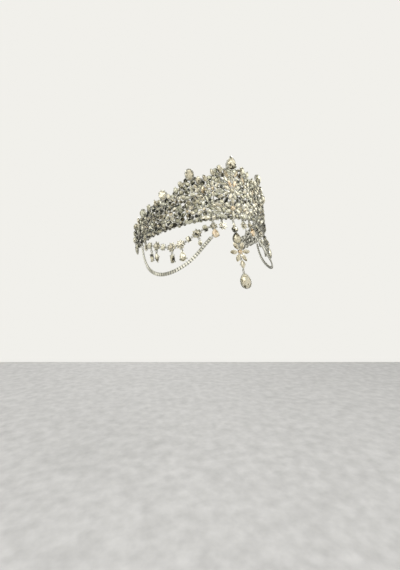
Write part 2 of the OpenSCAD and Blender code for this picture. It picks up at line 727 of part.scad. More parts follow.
crown_frame();
wall_stones("left");  // stones_left
wall_stones("right");  // stones_right
front_petals();
front_heart(FRONT_STAR);  // front_star_heart
front_heart(FRONT_FLOWER);  // front_flower_heart
crest_stone(CREST_PEAK);  // crest_peak
strand("left");  // strand_left
strand("right");  // strand_right
cup_chain("left");  // cup_chain_left
cup_chain("right");  // cup_chain_right
star_drop("left");  // star_drop_left
star_drop("right");  // star_drop_right
drop_ring(RIM_EAR_Z);  // drop_top_ring
drop_top_setting();
drop_round_stone();
drop_pear_stone();
drop_ring(PEAR_HOLE);  // drop_flower_ring
drop_flower_setting();
drop_flower_petals();
drop_stone(FLOWER_Z, ROUND, DROP_HEART, DROP_HEART);  // drop_flower_heart
drop_ring(FLOWER_HOLE);  // drop_link_ring
drop_link_setting();
drop_link_stone();
drop_ring(LINK_HOLE);  // drop_tear_ring
drop_tear_setting();
drop_tear_stone();
for (s = SIDES) for (i = [0 : len(CREST) - 1])
    crest_stone(CREST[i], s);
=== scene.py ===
"""Dresses the bridal crown: cut stones in their cups, soldered wires, cup chains, strands and the drop.

Sizes in the tables are millimetres and degrees; every mesh is made in metres, in the row frame.
"""

from __future__ import annotations

import logging
import math
from contextlib import contextmanager
from dataclasses import dataclass, field
from enum import Enum
from functools import cache
from typing import Callable, Iterable, Iterator, Sequence

import bpy
import numpy as np
from mathutils import Euler, Matrix, Vector

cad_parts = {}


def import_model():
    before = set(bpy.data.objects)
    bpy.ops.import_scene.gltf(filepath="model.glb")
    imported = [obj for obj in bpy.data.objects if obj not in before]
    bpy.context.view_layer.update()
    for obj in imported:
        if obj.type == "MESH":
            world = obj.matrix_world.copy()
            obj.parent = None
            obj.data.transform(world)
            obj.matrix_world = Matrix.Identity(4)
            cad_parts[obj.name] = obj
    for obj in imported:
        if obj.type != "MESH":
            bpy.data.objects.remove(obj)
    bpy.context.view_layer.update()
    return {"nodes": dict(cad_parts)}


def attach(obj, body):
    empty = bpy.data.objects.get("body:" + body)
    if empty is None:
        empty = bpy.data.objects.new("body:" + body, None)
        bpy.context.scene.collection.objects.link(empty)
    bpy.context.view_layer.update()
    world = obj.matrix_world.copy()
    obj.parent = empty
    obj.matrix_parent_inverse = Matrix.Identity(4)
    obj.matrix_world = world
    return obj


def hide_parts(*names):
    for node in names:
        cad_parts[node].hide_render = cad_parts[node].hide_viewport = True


log = logging.getLogger("bridal_crown")

MM = 0.001
FLAT = 1e-5
Place = tuple[float, float]
Spot = tuple[float, float, float]
Colour = tuple[float, float, float]


class Cut(Enum):
    """Outline that a stone is cut to, longest along X, with the angles of its claws in degrees."""

    ROUND = ("round", (45, 135, 225, 315))
    OVAL = ("oval", (45, 135, 225, 315))
    NAVETTE = ("navette", (0, 90, 180, 270))
    PEAR = ("pear", (0, 120, 240))
    EGG = ("egg", (0, 45, 90, 135, 180, 225, 270, 315))
    SQUARE = ("square", (45, 135, 225, 315))

    def point(self, angle: float) -> Place:
        """Gives a point of the outline at unit length and width.

        Args:
            angle: Angle round the stone, in radians.

        Returns:
            X and Y of the point.
        """
        x, y = math.cos(angle) / 2, math.sin(angle) / 2
        if self is Cut.NAVETTE:
            return x, y * (0.35 + 0.65 * abs(math.sin(angle)))
        if self in TAPERS:
            power, widest = TAPERS[self]
            return x, y * abs(math.sin(angle / 2)) ** power / widest
        if self is Cut.SQUARE:
            grow = min(0.88 / max(abs(math.cos(angle)), abs(math.sin(angle))), 1.16)
            return x * grow, y * grow
        return x, y


# How fast a drop shape narrows, and its greatest width before it is brought to one
TAPERS = {Cut.PEAR: (0.7, 0.82), Cut.EGG: (0.3, 0.91)}


class Facet(Enum):
    """Row that a facet belongs to, with its range of painted brightness and how many of its facets are
    painted dark: the table gets the most painted highlight, the girdle and back more painted shade, and the
    sloping metal of cups, rims and bars painted shade.
    """

    BACK = (0.3, 0.6, 0.3)
    GIRDLE = (0.15, 0.6, 0.35)
    LOWER = (0.3, 1.0, 0.3)
    UPPER = (0.5, 1.0, 0.2)
    TABLE = (0.6, 1.0, 0.12)
    METAL = (0.75, 1.0, 0.0)
    # Painted shade on the sloping metal of cups, rims and chain bars
    SHADED_METAL = (0.05, 0.3, 0.0)


@dataclass(frozen=True)
class Level:
    """One ring of a turned shape: its width and height, the facets under it and whether it is turned."""

    share: float
    height: float
    row: Facet = Facet.METAL
    half_turn: bool = False


SMALL_LEVELS = (
    Level(0.84, 0.0, Facet.BACK),
    Level(1.0, 0.1, Facet.GIRDLE),
    Level(0.8, 0.26, Facet.LOWER, True),
    Level(0.5, 0.37, Facet.UPPER, True),
)
MAIN_LEVELS = (
    Level(0.8, 0.0, Facet.BACK),
    Level(1.0, 0.1, Facet.GIRDLE),
    Level(1.0, 0.15, Facet.GIRDLE),
    Level(0.8, 0.34, Facet.LOWER, True),
    Level(0.52, 0.48, Facet.UPPER, True),
)
OPEN_LEVELS = (
    Level(0.35, -0.36, Facet.BACK),
    Level(0.8, -0.18, Facet.LOWER, True),
    Level(1.0, -0.05, Facet.GIRDLE),
    Level(1.0, 0.05, Facet.GIRDLE),
    Level(0.8, 0.22, Facet.LOWER, True),
    Level(0.52, 0.34, Facet.UPPER, True),
)
CUP_LEVELS = (Level(0.6, -0.14), Level(0.98, 0.0), Level(1.1, 0.13))
FINE_CUP_LEVELS = (Level(0.7, -0.14), Level(1.12, 0.13))


# Brightest that a facet in painted shade is
SHADED_FACET_MOST = 0.17


@dataclass(frozen=True)
class Tone:
    """Look of one stone: how champagne it is, how much its facets are painted dark (painted shade) or bright
    (painted highlight), and how even its table.
    """

    warmth: float = 0.2
    # Share of facets painted dark as painted shade, painted highlight, painted shade over the whole stone,
    # and how far the table's painted light is evened
    dark: float = 0.0
    shine: float = 0.0
    painted_shade: float = 0.0
    calm: float = 0.0

    def glint(self, row: Facet, first: float, second: float) -> float:
        """Painted brightness of a facet, from 0 to 1, which stands for its painted highlight or painted
        shade.

        Args:
            row: The facet's row.
            first: Random number that places it in the row's range.
            second: Random number that decides whether it is a dark one.

        Returns:
            The brightness.
        """
        low, high, share = row.value
        # Painted light: the table is pulled towards an even brightness, a share of facets is painted dark as
        # painted shade, and the whole stone is brightened by its painted highlight and darkened by its
        # painted shade
        calm = self.calm if row is Facet.TABLE else 0.0
        first += (0.6 - first) * calm
        in_shade = second < (share + self.dark * 0.5) * (1 - calm)
        bright = first * SHADED_FACET_MOST if in_shade else low + (high - low) * first
        return self.shine + (1 - self.shine) * bright * (1 - 0.3 * self.dark) * (1 - self.painted_shade)


@dataclass
class Master:
    """A shape that is modelled once and copied many times."""

    points: np.ndarray
    faces: list[tuple[int, ...]]
    rows: list[Facet]

    def ways(self) -> list[float]:
        """Direction of each face from the shape's middle, in radians."""
        middles = [self.points[list(face)].mean(axis=0) for face in self.faces]
        return [math.atan2(middle[1], middle[0]) for middle in middles]


@dataclass(frozen=True)
class Wall:
    """Surface that the crown's stones stand on: a round rim that leans outwards at the front."""

    rim_radius: float = 80.0
    front_lean: float = 0.3

    def run(self, place: float) -> float:
        """How far the wall goes out for each millimetre up."""
        return self.front_lean * max(math.cos(math.radians(place)), 0.0) ** 2

    def radius(self, place: float, height: float) -> float:
        """Distance from the crown's axis to the wall."""
        return self.rim_radius + self.run(place) * max(height, 0.0)

    def point(self, place: float, height: float, lift: float) -> Vector:
        """Point in metres at a height of the wall and a distance out of it."""
        out, angle = self.radius(place, height) + lift, math.radians(place)
        return Vector((-out * math.sin(angle), -out * math.cos(angle), height)) * MM

    def slope(self, a: Place, b: Place) -> float:
        """Direction from one place under the rim to another, in degrees."""
        return math.degrees(math.atan2(b[1] - a[1], math.radians(a[0] - b[0]) * self.rim_radius))

    def along(self, place: float, height: float, right: float, up: float) -> Place:
        """Place reached by going along the wall.

        Args:
            place: Degrees round the crown from the front.
            height: Height over the rim.
            right: Millimetres to the right, as seen from outside.
            up: Millimetres up the wall.

        Returns:
            The new place and height.
        """
        top = height + up * math.cos(math.atan(self.run(place)))
        return place - math.degrees(right / self.radius(place, top)), top

    def stand(self, place: float, height: float, turn: float = 0.0, lift: float = 0.0) -> Matrix:
        """Matrix that stands a shape on the wall, facing out.

        Args:
            place: Degrees round the crown from the front.
            height: Height over the rim.
            turn: Degrees that the shape is turned anticlockwise, as seen from outside.
            lift: Distance out of the wall.

        Returns:
            The matrix, with its translation in millimetres.
        """
        lean = math.atan(self.run(place)) if height > 0 else 0.0
        return (
            Matrix.Rotation(-math.radians(place), 4, "Z")
            @ Matrix.Translation((0, -self.radius(place, height), height))
            @ Matrix.Rotation(math.pi / 2 + lean, 4, "X")
            @ Matrix.Translation((0, 0, lift))
            @ Matrix.Rotation(math.radians(turn), 4, "Z")
        )


WALL = Wall()
MIRROR = Matrix.Scale(-1, 4, (1, 0, 0))
SIDES = {"left": Matrix.Identity(4), "right": MIRROR}


def deselect() -> None:
    """Deselects everything, so that an operator acts on the next primitive alone."""
    bpy.ops.object.select_all(action="DESELECT")


def placed(obj: bpy.types.Object) -> bpy.types.Object:
    """Links an object to the scene, as the only one selected."""
    deselect()
    bpy.context.scene.collection.objects.link(obj)
    obj.select_set(True)
    bpy.context.view_layer.objects.active = obj
    return obj


def swing(angle: float) -> None:
    """Turns what is selected about the Z axis."""
    bpy.ops.transform.rotate(value=angle, orient_axis="Z", center_override=(0, 0, 0))


def spread(x: float, y: float | None = None) -> None:
    """Resizes what is selected about the Z axis, evenly where only one number is given."""
    bpy.ops.transform.resize(value=(x, y or x, 1), center_override=(0, 0, 0))


def raise_up(move: Spot) -> None:
    """Extrudes the selected faces."""
    bpy.ops.mesh.extrude_region_move(TRANSFORM_OT_translate={"value": move})


@contextmanager
def editing() -> Iterator[None]:
    """Opens edit mode on all of the new primitive, and closes it with the faces turned outwards."""
    bpy.ops.object.mode_set(mode="EDIT")
    bpy.ops.mesh.select_all(action="SELECT")
    yield
    bpy.ops.mesh.select_all(action="SELECT")
    bpy.ops.mesh.normals_make_consistent(inside=False)
    bpy.ops.object.mode_set(mode="OBJECT")


@contextmanager
def circle(sides: int, width: float, fill: str) -> Iterator[None]:
    """Adds a circle with its first corner on X, and keeps it in edit mode."""
    deselect()
    bpy.ops.mesh.primitive_circle_add(vertices=sides, radius=width / 2, fill_type=fill)
    with editing():
        swing(math.pi / 2)
        yield


class Bench:
    """Models each kind of master once, with Blender's operators, and keeps it."""

    @staticmethod
    def read(row: Callable[[float, float], Facet], cut: Cut | None = None) -> Master:
        """Takes the new object's mesh as a master and removes the object.

        Args:
            row: Names a face's row from its lowest and highest height.
            cut: Outline that a round shape is drawn out to.

        Returns:
            The master.
        """
        mesh = bpy.context.object.data
        points = np.array([v.co for v in mesh.vertices], float)
        faces = sorted((tuple(p.vertices) for p in mesh.polygons), key=sorted)
        rows = [row(points[list(f), 2].min(), points[list(f), 2].max()) for f in faces]
        bpy.data.objects.remove(bpy.context.object)
        bpy.data.meshes.remove(mesh)
        for point in points:
            share = 2 * math.hypot(point[0], point[1])
            if cut and share > FLAT:
                x, y = cut.point(math.atan2(point[1], point[0]))
                point[0], point[1] = x * share, y * share
        return Master(points, faces, rows)

    @classmethod
    def turned(
        cls, cut: Cut, sides: int, levels: Sequence[Level], row: Callable[[float, float], Facet]
    ) -> Master:
        """Raises a closed shape ring by ring from a disc.

        Args:
            cut: Outline.
            sides: Number of corners of each ring.
            levels: Rings from the back to the front; heights are given against the width.
            row: Names a face's row from its lowest and highest height.

        Returns:
            The shape at unit length and width.
        """
        with circle(sides, levels[0].share, "TRIFAN"):
            bpy.ops.transform.translate(value=(0, 0, levels[0].height))
            for before, level in zip(levels, levels[1:]):
                raise_up((0, 0, level.height - before.height))
                spread(level.share / before.share)
                if level.half_turn:
                    swing(math.pi / sides)
            bpy.ops.mesh.select_all(action="SELECT")
            bpy.ops.mesh.quads_convert_to_tris(quad_method="SHORTEST_DIAGONAL")
        return cls.read(row, cut)

    @classmethod
    @cache
    def stone(cls, cut: Cut, sides: int, levels: Sequence[Level]) -> Master:
        """Cuts a stone.

        Args:
            cut: Outline.
            sides: Facets round the girdle.
            levels: Rings from the back to the front.

        Returns:
            The stone at unit length and width.
        """

        def row(low: float, high: float) -> Facet:
            """Names a sloping face after the ring at its top."""
            if high - low > FLAT:
                return next(level.row for level in levels if level.height >= high - FLAT)
            return Facet.TABLE if low > levels[0].height + FLAT else Facet.BACK

        return cls.turned(cut, sides, levels, row)

    @classmethod
    def small(cls, cut: Cut, fine: bool = False) -> Master:
        """Small stone of a cut."""
        return cls.stone(cut, 8 if fine or cut in (Cut.ROUND, Cut.SQUARE) else 12, SMALL_LEVELS)

    @classmethod
    def main(cls, cut: Cut) -> Master:
        """Large stone of a cut."""
        return cls.stone(cut, 12, MAIN_LEVELS)

    @classmethod
    def open(cls, cut: Cut) -> Master:
        """Large stone that tapers to its back."""
        return cls.stone(cut, 14, OPEN_LEVELS)

    @classmethod
    @cache
    def cup(
        cls, cut: Cut, sides: int = 12, fine: bool = False, claws: tuple[float, ...] | None = None
    ) -> Master:
        """Makes the metal cup behind a stone, with its claws.

        Args:
            cut: Outline of the stone.
            sides: Corners round the cup.
            fine: Whether it is the plainer cup of a fine stone.
            claws: Angles of its claws in degrees, where they aren't those of the cut.

        Returns:
            The cup at unit length and width.
        """
        levels, sides = (FINE_CUP_LEVELS, 8) if fine else (CUP_LEVELS, sides)
        # Sloping sides of the cup carry painted shade; its flat faces and claws stay bright metal
        made = cls.turned(
            cut, sides, levels, lambda low, high: Facet.SHADED_METAL if high - low > FLAT else Facet.METAL
        )
        claw = cls.claw()
        for degrees in cut.value[1] if claws is None else claws:
            x, y = cut.point(math.radians(degrees))
            turn = Matrix.Translation((x, y, 0)) @ Matrix.Rotation(math.atan2(y, x), 4, "Z")
            count = len(made.points)
            made.points = np.vstack([made.points, [turn @ Vector(p) for p in claw.points]])
            made.faces += [tuple(i + count for i in face) for face in claw.faces]
            made.rows += claw.rows
        return made

    @classmethod
    @cache
    def claw(cls) -> Master:
        """Bends one claw up a stone's edge and over it, at the origin with the stone towards -X."""
        deselect()
        bpy.ops.mesh.primitive_plane_add(size=1)
        with editing():
            spread(0.09, 0.15)
            bpy.ops.transform.translate(value=(0.045, 0, -0.1))
            for move, grow in (((0.0, 0, 0.32), 0.85), ((-0.12, 0, 0.07), 0.6)):
                raise_up(move)
                bpy.ops.transform.resize(value=(grow, grow, 1))
        return cls.read(lambda low, high: Facet.METAL)

    @classmethod
    @cache
    def rim(cls, cut: Cut, inside: float, outside: float, thickness: float) -> Master:
        """Makes an open rim round a stone.

        Args:
            cut: Outline of the stone.
            inside: Inner size against the stone's outline.
            outside: Outer size against it.
            thickness: Height against the stone's width.

        Returns:
            The rim at unit length and width, with its back at zero.
        """
        with circle(32, inside, "NOTHING"):
            bpy.ops.mesh.extrude_edges_move()
            spread(outside / inside)
            bpy.ops.mesh.select_all(action="SELECT")
            raise_up((0, 0, thickness))
        # The whole rim carries the painted shade of the cups' sides
        return cls.read(lambda low, high: Facet.SHADED_METAL, cut)

    @classmethod
    @cache
    def ring(cls, width: float, wire: float) -> Master:
        """Makes a round wire ring in the XZ plane.

        Args:
            width: Width between the middles of its wire, in millimetres.
            wire: Thickness of the wire, in millimetres.

        Returns:
            The ring.
        """
        deselect()
        bpy.ops.mesh.primitive_torus_add(
            major_radius=width / 2,
            minor_radius=wire / 2,
            major_segments=20,
            minor_segments=8,
            rotation=(math.pi / 2, 0, 0),
        )
        bpy.ops.object.transform_apply(location=False, rotation=True, scale=False)
        return cls.read(lambda low, high: Facet.METAL)

    @classmethod
    @cache
    def bar(cls, row: Facet = Facet.METAL) -> Master:
        """Makes a short rod of unit length and width along X, with rounded edges."""
        deselect()
        bpy.ops.mesh.primitive_cylinder_add(vertices=8, radius=0.5, depth=1, rotation=(0, math.pi / 2, 0))
        bpy.ops.object.transform_apply(location=False, rotation=True, scale=False)
        return cls.read(lambda low, high: row)

    @classmethod
    @cache
    def bead(cls) -> Master:
        """Makes a metal bead of unit width."""
        deselect()
        bpy.ops.mesh.primitive_uv_sphere_add(segments=8, ring_count=5, radius=0.5)
        return cls.read(lambda low, high: Facet.METAL)


class Graph:
    """A node tree that is built by one method."""

    def __init__(self, tree: bpy.types.NodeTree) -> None:
        """Empties the tree."""
        self.tree = tree
        tree.nodes.clear()

    def node(
        self, kind: str, inputs: dict[str | int, object] | None = None, **settings: object
    ) -> bpy.types.Node:
        """Adds a node.

        Args:
            kind: Type of the node.
            inputs: Numbers, colours, sockets or wrapped sockets of its inputs.
            settings: Its own settings; "stops" holds the stops of a colour ramp.

        Returns:
            The node.
        """
        made = self.tree.nodes.new(f"ShaderNode{kind}")
        for key, value in settings.items():
            if key == "stops":
                self.stops(made.color_ramp.elements, value)
            else:
                setattr(made, key, value)
        for key, value in (inputs or {}).items():
            value = value.socket if isinstance(value, Value) else value
            if isinstance(value, bpy.types.NodeSocket):
                self.tree.links.new(value, made.inputs[key])
            else:
                made.inputs[key].default_value = (*value, 1) if isinstance(value, tuple) else value
        return made

    @staticmethod
    def stops(elements: bpy.types.ColorRampElements, stops: Sequence[tuple[float, Colour]]) -> None:
        """Sets the stops of a colour ramp."""
        while len(elements) < len(stops):
            elements.new(0.5)
        for element, (position, colour) in zip(elements, stops):
            element.position = position
            element.color = (*colour, 1)

    def attribute(self, name: str) -> Value:
        """Reads a number that the mesh carries."""
        made = self.node("Attribute", attribute_type="GEOMETRY", attribute_name=name)
        return Value(self, made.outputs["Fac"])

    def noise(self, scale: float, detail: float = 2.0, space: str = "Object") -> Value:
        """Noise on the object's coordinates, or on those of another space."""
        where = self.node("TexCoord").outputs[space]
        made = self.node("TexNoise", {"Vector": where, "Scale": scale, "Detail": detail})
        return Value(self, made.outputs["Fac"])

    def ramp(self, factor: Value, stops: Sequence[tuple[float, Colour]]) -> bpy.types.NodeSocket:
        """Colour from a number."""
        return self.node("ValToRGB", {"Fac": factor}, stops=stops).outputs["Color"]

    def mix(self, factor: object, first: object, second: object) -> bpy.types.NodeSocket:
        """Mixes two colours."""
        return self.node("Mix", {"Factor": factor, 6: first, 7: second}, data_type="RGBA").outputs[2]


@dataclass
class Value:
    """A number in a node tree, on which arithmetic adds Math nodes."""

    graph: Graph
    socket: bpy.types.NodeSocket

    def math(self, operation: str, *operands: object) -> Value:
        """Adds a Math node."""
        made = self.graph.node("Math", dict(enumerate(operands)), operation=operation)
        return Value(self.graph, made.outputs[0])

    def __add__(self, other: object) -> Value:
        """Sum."""
        return self.math("ADD", self, other)

    def __mul__(self, other: object) -> Value:
        """Product."""
        return self.math("MULTIPLY", self, other)

    def __sub__(self, other: object) -> Value:
        """Difference."""
        return self.math("SUBTRACT", self, other)

    def __rsub__(self, other: object) -> Value:
        """Difference with this number taken away."""
        return self.math("SUBTRACT", other, self)

    __radd__ = __add__
    __rmul__ = __mul__

    def clamped(self) -> Value:
        """The number kept between 0 and 1."""
        return self.math("MINIMUM", self.math("MAXIMUM", self, 0.0), 1.0)


@dataclass(frozen=True)
class Finish:
    """A finish, whose material is made once, and the record's slot that it mostly belongs to."""

    name: str
    slot: str = ""

    @cache
    def material(self) -> bpy.types.Material:
        """Gives the finish's material."""
        made = bpy.data.materials.new(self.name)
        made.use_nodes = True
        graph = Graph(made.node_tree)
        shader = graph.node("BsdfPrincipled", self.inputs(graph))
        graph.node("OutputMaterial", {"Surface": shader.outputs[0]})
        return made

    def inputs(self, graph: Graph) -> dict[str | int, object]:
        """Gives the inputs of the surface shader."""
        raise NotImplementedError


@dataclass(frozen=True)
class CutCrystal(Finish):
    """Foil-backed crystal: each facet is painted from dark green grey to white, a painted highlight or
    painted shade that stands in for the light it reflects.
    """

    places: tuple[float, ...] = (0.0, 0.3, 0.6, 1.0)
    clear: tuple[Colour, ...] = (
        (0.008, 0.009, 0.007), (0.13, 0.13, 0.08), (0.61, 0.6, 0.42), (0.88, 0.87, 0.71),
    )
    warm: tuple[Colour, ...] = (
        (0.04, 0.025, 0.01), (0.3, 0.2, 0.08), (0.78, 0.53, 0.28), (1.0, 0.8, 0.54),
    )

    def inputs(self, graph: Graph) -> dict[str | int, object]:
        """Gives the inputs of the crystal's shader.

        Args:
            graph: The material's node tree.

        Returns:
            A value or link for each input.
        """
        # The mesh's glint is each facet's painted highlight or painted shade, with a fine random speckle;
        # brighter facets also get less roughness and more coat
        glint = (graph.attribute("glint") + (graph.noise(700.0) - 0.5) * 0.15).clamped()
        ramps = [graph.ramp(glint, list(zip(self.places, stops))) for stops in (self.clear, self.warm)]
        return {
            "Base Color": graph.mix(graph.attribute("warmth"), *ramps),
            "Metallic": 0.3,
            "Roughness": (0.17 - 0.1 * glint).clamped(),
            "IOR": 1.5,
            "Coat Weight": (0.1 + 1.6 * glint).clamped(),
            "Coat Roughness": 0.03,
        }


@dataclass(frozen=True)
class BrightMetal(Finish):
    """Plated silver metal with faint polishing marks, which painted shade carried by the mesh may darken."""

    colour: Colour = (0.6, 0.58, 0.5)
    roughness: float = 0.3
    shaded: bool = False
    worn: float = 0.62
    # Colour that the painted shade darkens the metal towards
    shade_colour: Colour = (0.04, 0.038, 0.024)

    def inputs(self, graph: Graph) -> dict[str | int, object]:
        """Gives the inputs of the metal's shader.

        Args:
            graph: The material's node tree.

        Returns:
            A value or link for each input.
        """
        cloud = graph.noise(350.0, 3.0)
        worn = tuple(c * self.worn for c in self.colour)
        marks = graph.node("Bump", {"Strength": 0.25, "Distance": 0.00005, "Height": graph.noise(2500.0)})
        colour = graph.mix((cloud * 2.0 - 0.55).clamped(), worn, self.colour)
        # Painted shade: the mesh's glint darkens the metal towards the painted shade colour
        if self.shaded:
            colour = graph.mix(graph.attribute("glint"), self.shade_colour, colour)
        return {
            "Base Color": colour,
            "Metallic": 0.8,
            "Roughness": (cloud * 0.2 + (self.roughness - 0.1)).clamped(),
            "Normal": marks.outputs["Normal"],
        }


@dataclass(frozen=True)
class PaleFloor(Finish):
    """Matt, faintly clouded floor."""

    def inputs(self, graph: Graph) -> dict[str | int, object]:
        """Gives the inputs of the floor's shader."""
        cloud = graph.noise(60.0, 8.0)
        return {"Base Color": graph.mix(cloud, (0.42, 0.415, 0.405), (0.74, 0.73, 0.715)), "Roughness": 0.8}


SMALL_CRYSTAL = CutCrystal("small_crystal", "small_stone")
MAIN_CRYSTAL = CutCrystal("main_crystal", "main_stone")
SILVER = BrightMetal("silver_wire", "silver_metal")
# Metal of cups, claws, rims, rings and bars, which takes the painted shade that the mesh carries
CUP_SILVER = BrightMetal("cup_silver", "silver_metal", (0.92, 0.9, 0.78), 0.32, True)


def dress(
    obj: bpy.types.Object, finish: Finish, body: str, replaced: Sequence[str] = (), slot: str = ""
) -> None:
    """Gives a new piece its finish and lets it ride on its body.

    Args:
        obj: The piece, which is the only one selected.
        finish: Its finish; a metal one is shaded smooth over its gentle edges.
        body: Name of the body.
        replaced: Nodes that the piece stands for.
        slot: Name of the record's material slot, where it isn't the finish's own; not used.
    """
    obj.data.materials.append(finish.material())
    if isinstance(finish, BrightMetal):
        bpy.ops.object.shade_smooth_by_angle(angle=math.radians(40))
    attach(obj, body)
    slot or finish.slot
    if replaced:
        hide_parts(*replaced)
    log.info("%s rides on %s with %d faces", obj.name, body, len(obj.data.polygons))


class Cluster:
    """Copies of masters gathered into one mesh, with a painted brightness (painted highlight or painted
    shade) and a warmth for each face.
    """

    facing_share = 0.6

    def __init__(self, name: str, seed: int = 1) -> None:
        """Starts an empty cluster.

        Args:
            name: Name of the piece.
            seed: Seed of its facets' brightness.
        """
        self.name = name
        self.random = np.random.default_rng(seed)
        self.points: list[np.ndarray] = []
        self.faces: list[tuple[int, ...]] = []
        self.glints: list[float] = []
        self.warmths: list[float] = []
        self.count = 0

    def add(
        self, master: Master, matrix: Matrix, size: Sequence[float], tone: Tone = Tone()
    ) -> None:
        """Adds a copy.

        Args:
            master: Shape to copy.
            matrix: Where it goes, in millimetres.
            size: Length, width and height that it is drawn out to.
            tone: Look of the stone.
        """
        whole = np.array(matrix @ Matrix.Diagonal((*size, 1)))
        self.points.append((master.points @ whole[:3, :3].T + whole[:3, 3]) * MM)
        flipped = np.linalg.det(whole[:3, :3]) < 0
        # Painted light: each copy gets a random direction, and its faces that point that way are painted
        # brighter and the others darker, as if lit from that side; calm weakens it
        lit = self.random.uniform(0, math.tau)
        for face, row, way in zip(master.faces, master.rows, master.ways()):
            moved = tuple(i + self.count for i in face)
            self.faces.append(moved[::-1] if flipped else moved)
            first, second, third = self.random.random(3)
            facing = 0.5 + 0.5 * math.cos(way - lit)
            share = self.facing_share * (1 - tone.calm)
            first, second = (drawn + (facing - drawn) * share for drawn in (first, second))
            self.glints.append(tone.glint(row, first, second))
            self.warmths.append(min(1.0, tone.warmth * (0.6 + 0.8 * third)))
        self.count += len(master.points)

    def build(
        self, finish: Finish, body: str = "crown", replaced: Sequence[str] = (), slot: str = ""
    ) -> None:
        """Makes the piece and dresses it.

        Args:
            finish: Its finish.
            body: Name of the body that it rides on.
            replaced: Nodes that it stands for.
            slot: Name of the record's material slot, where it isn't the finish's own.
        """
        mesh = bpy.data.meshes.new(self.name)
        mesh.from_pydata(np.vstack(self.points).tolist(), [], self.faces)
        for title, values in (("glint", self.glints), ("warmth", self.warmths)):
            mesh.attributes.new(title, "FLOAT", "FACE").data.foreach_set("value", values)
        mesh.update()
        dress(placed(bpy.data.objects.new(self.name, mesh)), finish, body, replaced, slot)


# Where the painted shade on the stones begins to grow towards the back end, and over how many degrees
SHADE_START, SHADE_SPAN = 8, 62


def back_shade(place: float) -> float:
    """How much more painted shade the stones get towards the back end, from 0 to 1."""
    return min(max((place - SHADE_START) / SHADE_SPAN, 0.0), 1.0)


@dataclass(frozen=True)
class Stone:
    """One stone of the wall."""

    place: float
    height: float
    length: float
    width: float
    turn: float = 0.0
    cut: Cut = Cut.ROUND
    main: bool = False
    warmth: float = 0.15
    # Painted shade that darkens the whole stone, and painted highlight that brightens it
    painted_shade: float = 0.0
    shine: float = 0.0

    def put(
        self,
        stones: Cluster,
        cups: Cluster,
        side: Matrix,
        lift: float = 0.75,
        tilt: float = 4.0,
        fine: bool = False,
        claws: tuple[float, ...] | None = None,
    ) -> None:
        """Sets the stone and its cup on the wall.

        Args:
            stones: Cluster of stones.
            cups: Cluster of cups.
            side: Identity or the mirror of the other side.
            lift: Distance of the stone's back from the wall's middle.
            tilt: Most degrees that it leans by.
            fine: Whether it is one of the fine stones, with plainer facets.
            claws: Angles of its claws, where they aren't those of its cut.
        """
        draw = stones.random.uniform(-tilt, tilt, 2)
        lean = Matrix.Rotation(math.radians(draw[0]), 4, "X") @ Matrix.Rotation(math.radians(draw[1]), 4, "Y")
        where = side @ WALL.stand(self.place, self.height, self.turn, lift) @ lean
        size = (self.length, self.width, self.width)
        # Painted light: each stone draws whether its facets are mostly painted dark (painted shade, more
        # often towards the back end) or bright (painted highlight); main stones get a little of both and an
        # evener table
        mood, shade = stones.random.random(), back_shade(self.place)
        bright = mood > 0.74 + 0.06 * shade
        tone = Tone(
            warmth=min(1.0, self.warmth * stones.random.uniform(0.2, 2.0)),
            dark=0.25 if self.main else 1.0 if mood < 0.06 + 0.66 * shade else 0.6 * shade,
            shine=0.08 if self.main else max(self.shine, 0.4 if bright and self.length < 8 else 0.0),
            painted_shade=self.painted_shade,
            calm=0.4 if self.main else 0.0,
        )
        master = Bench.main(self.cut) if self.main else Bench.small(self.cut, fine)
        stones.add(master, where, size, tone)
        cups.add(Bench.cup(self.cut, 16 if self.main else 12, fine, claws), where, size)


@dataclass(frozen=True)
class Flower:
    """Petals round a centre stone."""

    place: float
    height: float
    petals: int
    first: float
    step: float
    length: float
    width: float
    heart: float
    gap: float = 0.35
    warmth: float = 0.15
    # Painted highlight on the petals
    shine: float = 0.15
    spots: dict[int, float] = field(default_factory=dict)

    def stones(self, with_heart: bool = True) -> list[Stone]:
        """Gives the flower's stones.

        Args:
            with_heart: Whether the centre stone is among them.

        Returns:
            The stones, petals first.
        """
        reach = self.heart / 2 + self.gap + self.length / 2
        found = []
        for i in range(self.petals):
            turn = self.first + i * self.step
            angle = math.radians(turn)
            spot = WALL.along(self.place, self.height, reach * math.cos(angle), reach * math.sin(angle))
            tint = self.spots.get(i, self.warmth)
            petal = Stone(*spot, self.length, self.width, turn, Cut.NAVETTE, warmth=tint, shine=self.shine)
            found.append(petal)
        if with_heart:
            found.append(Stone(self.place, self.height, self.heart, self.heart, warmth=0.3))
        return found


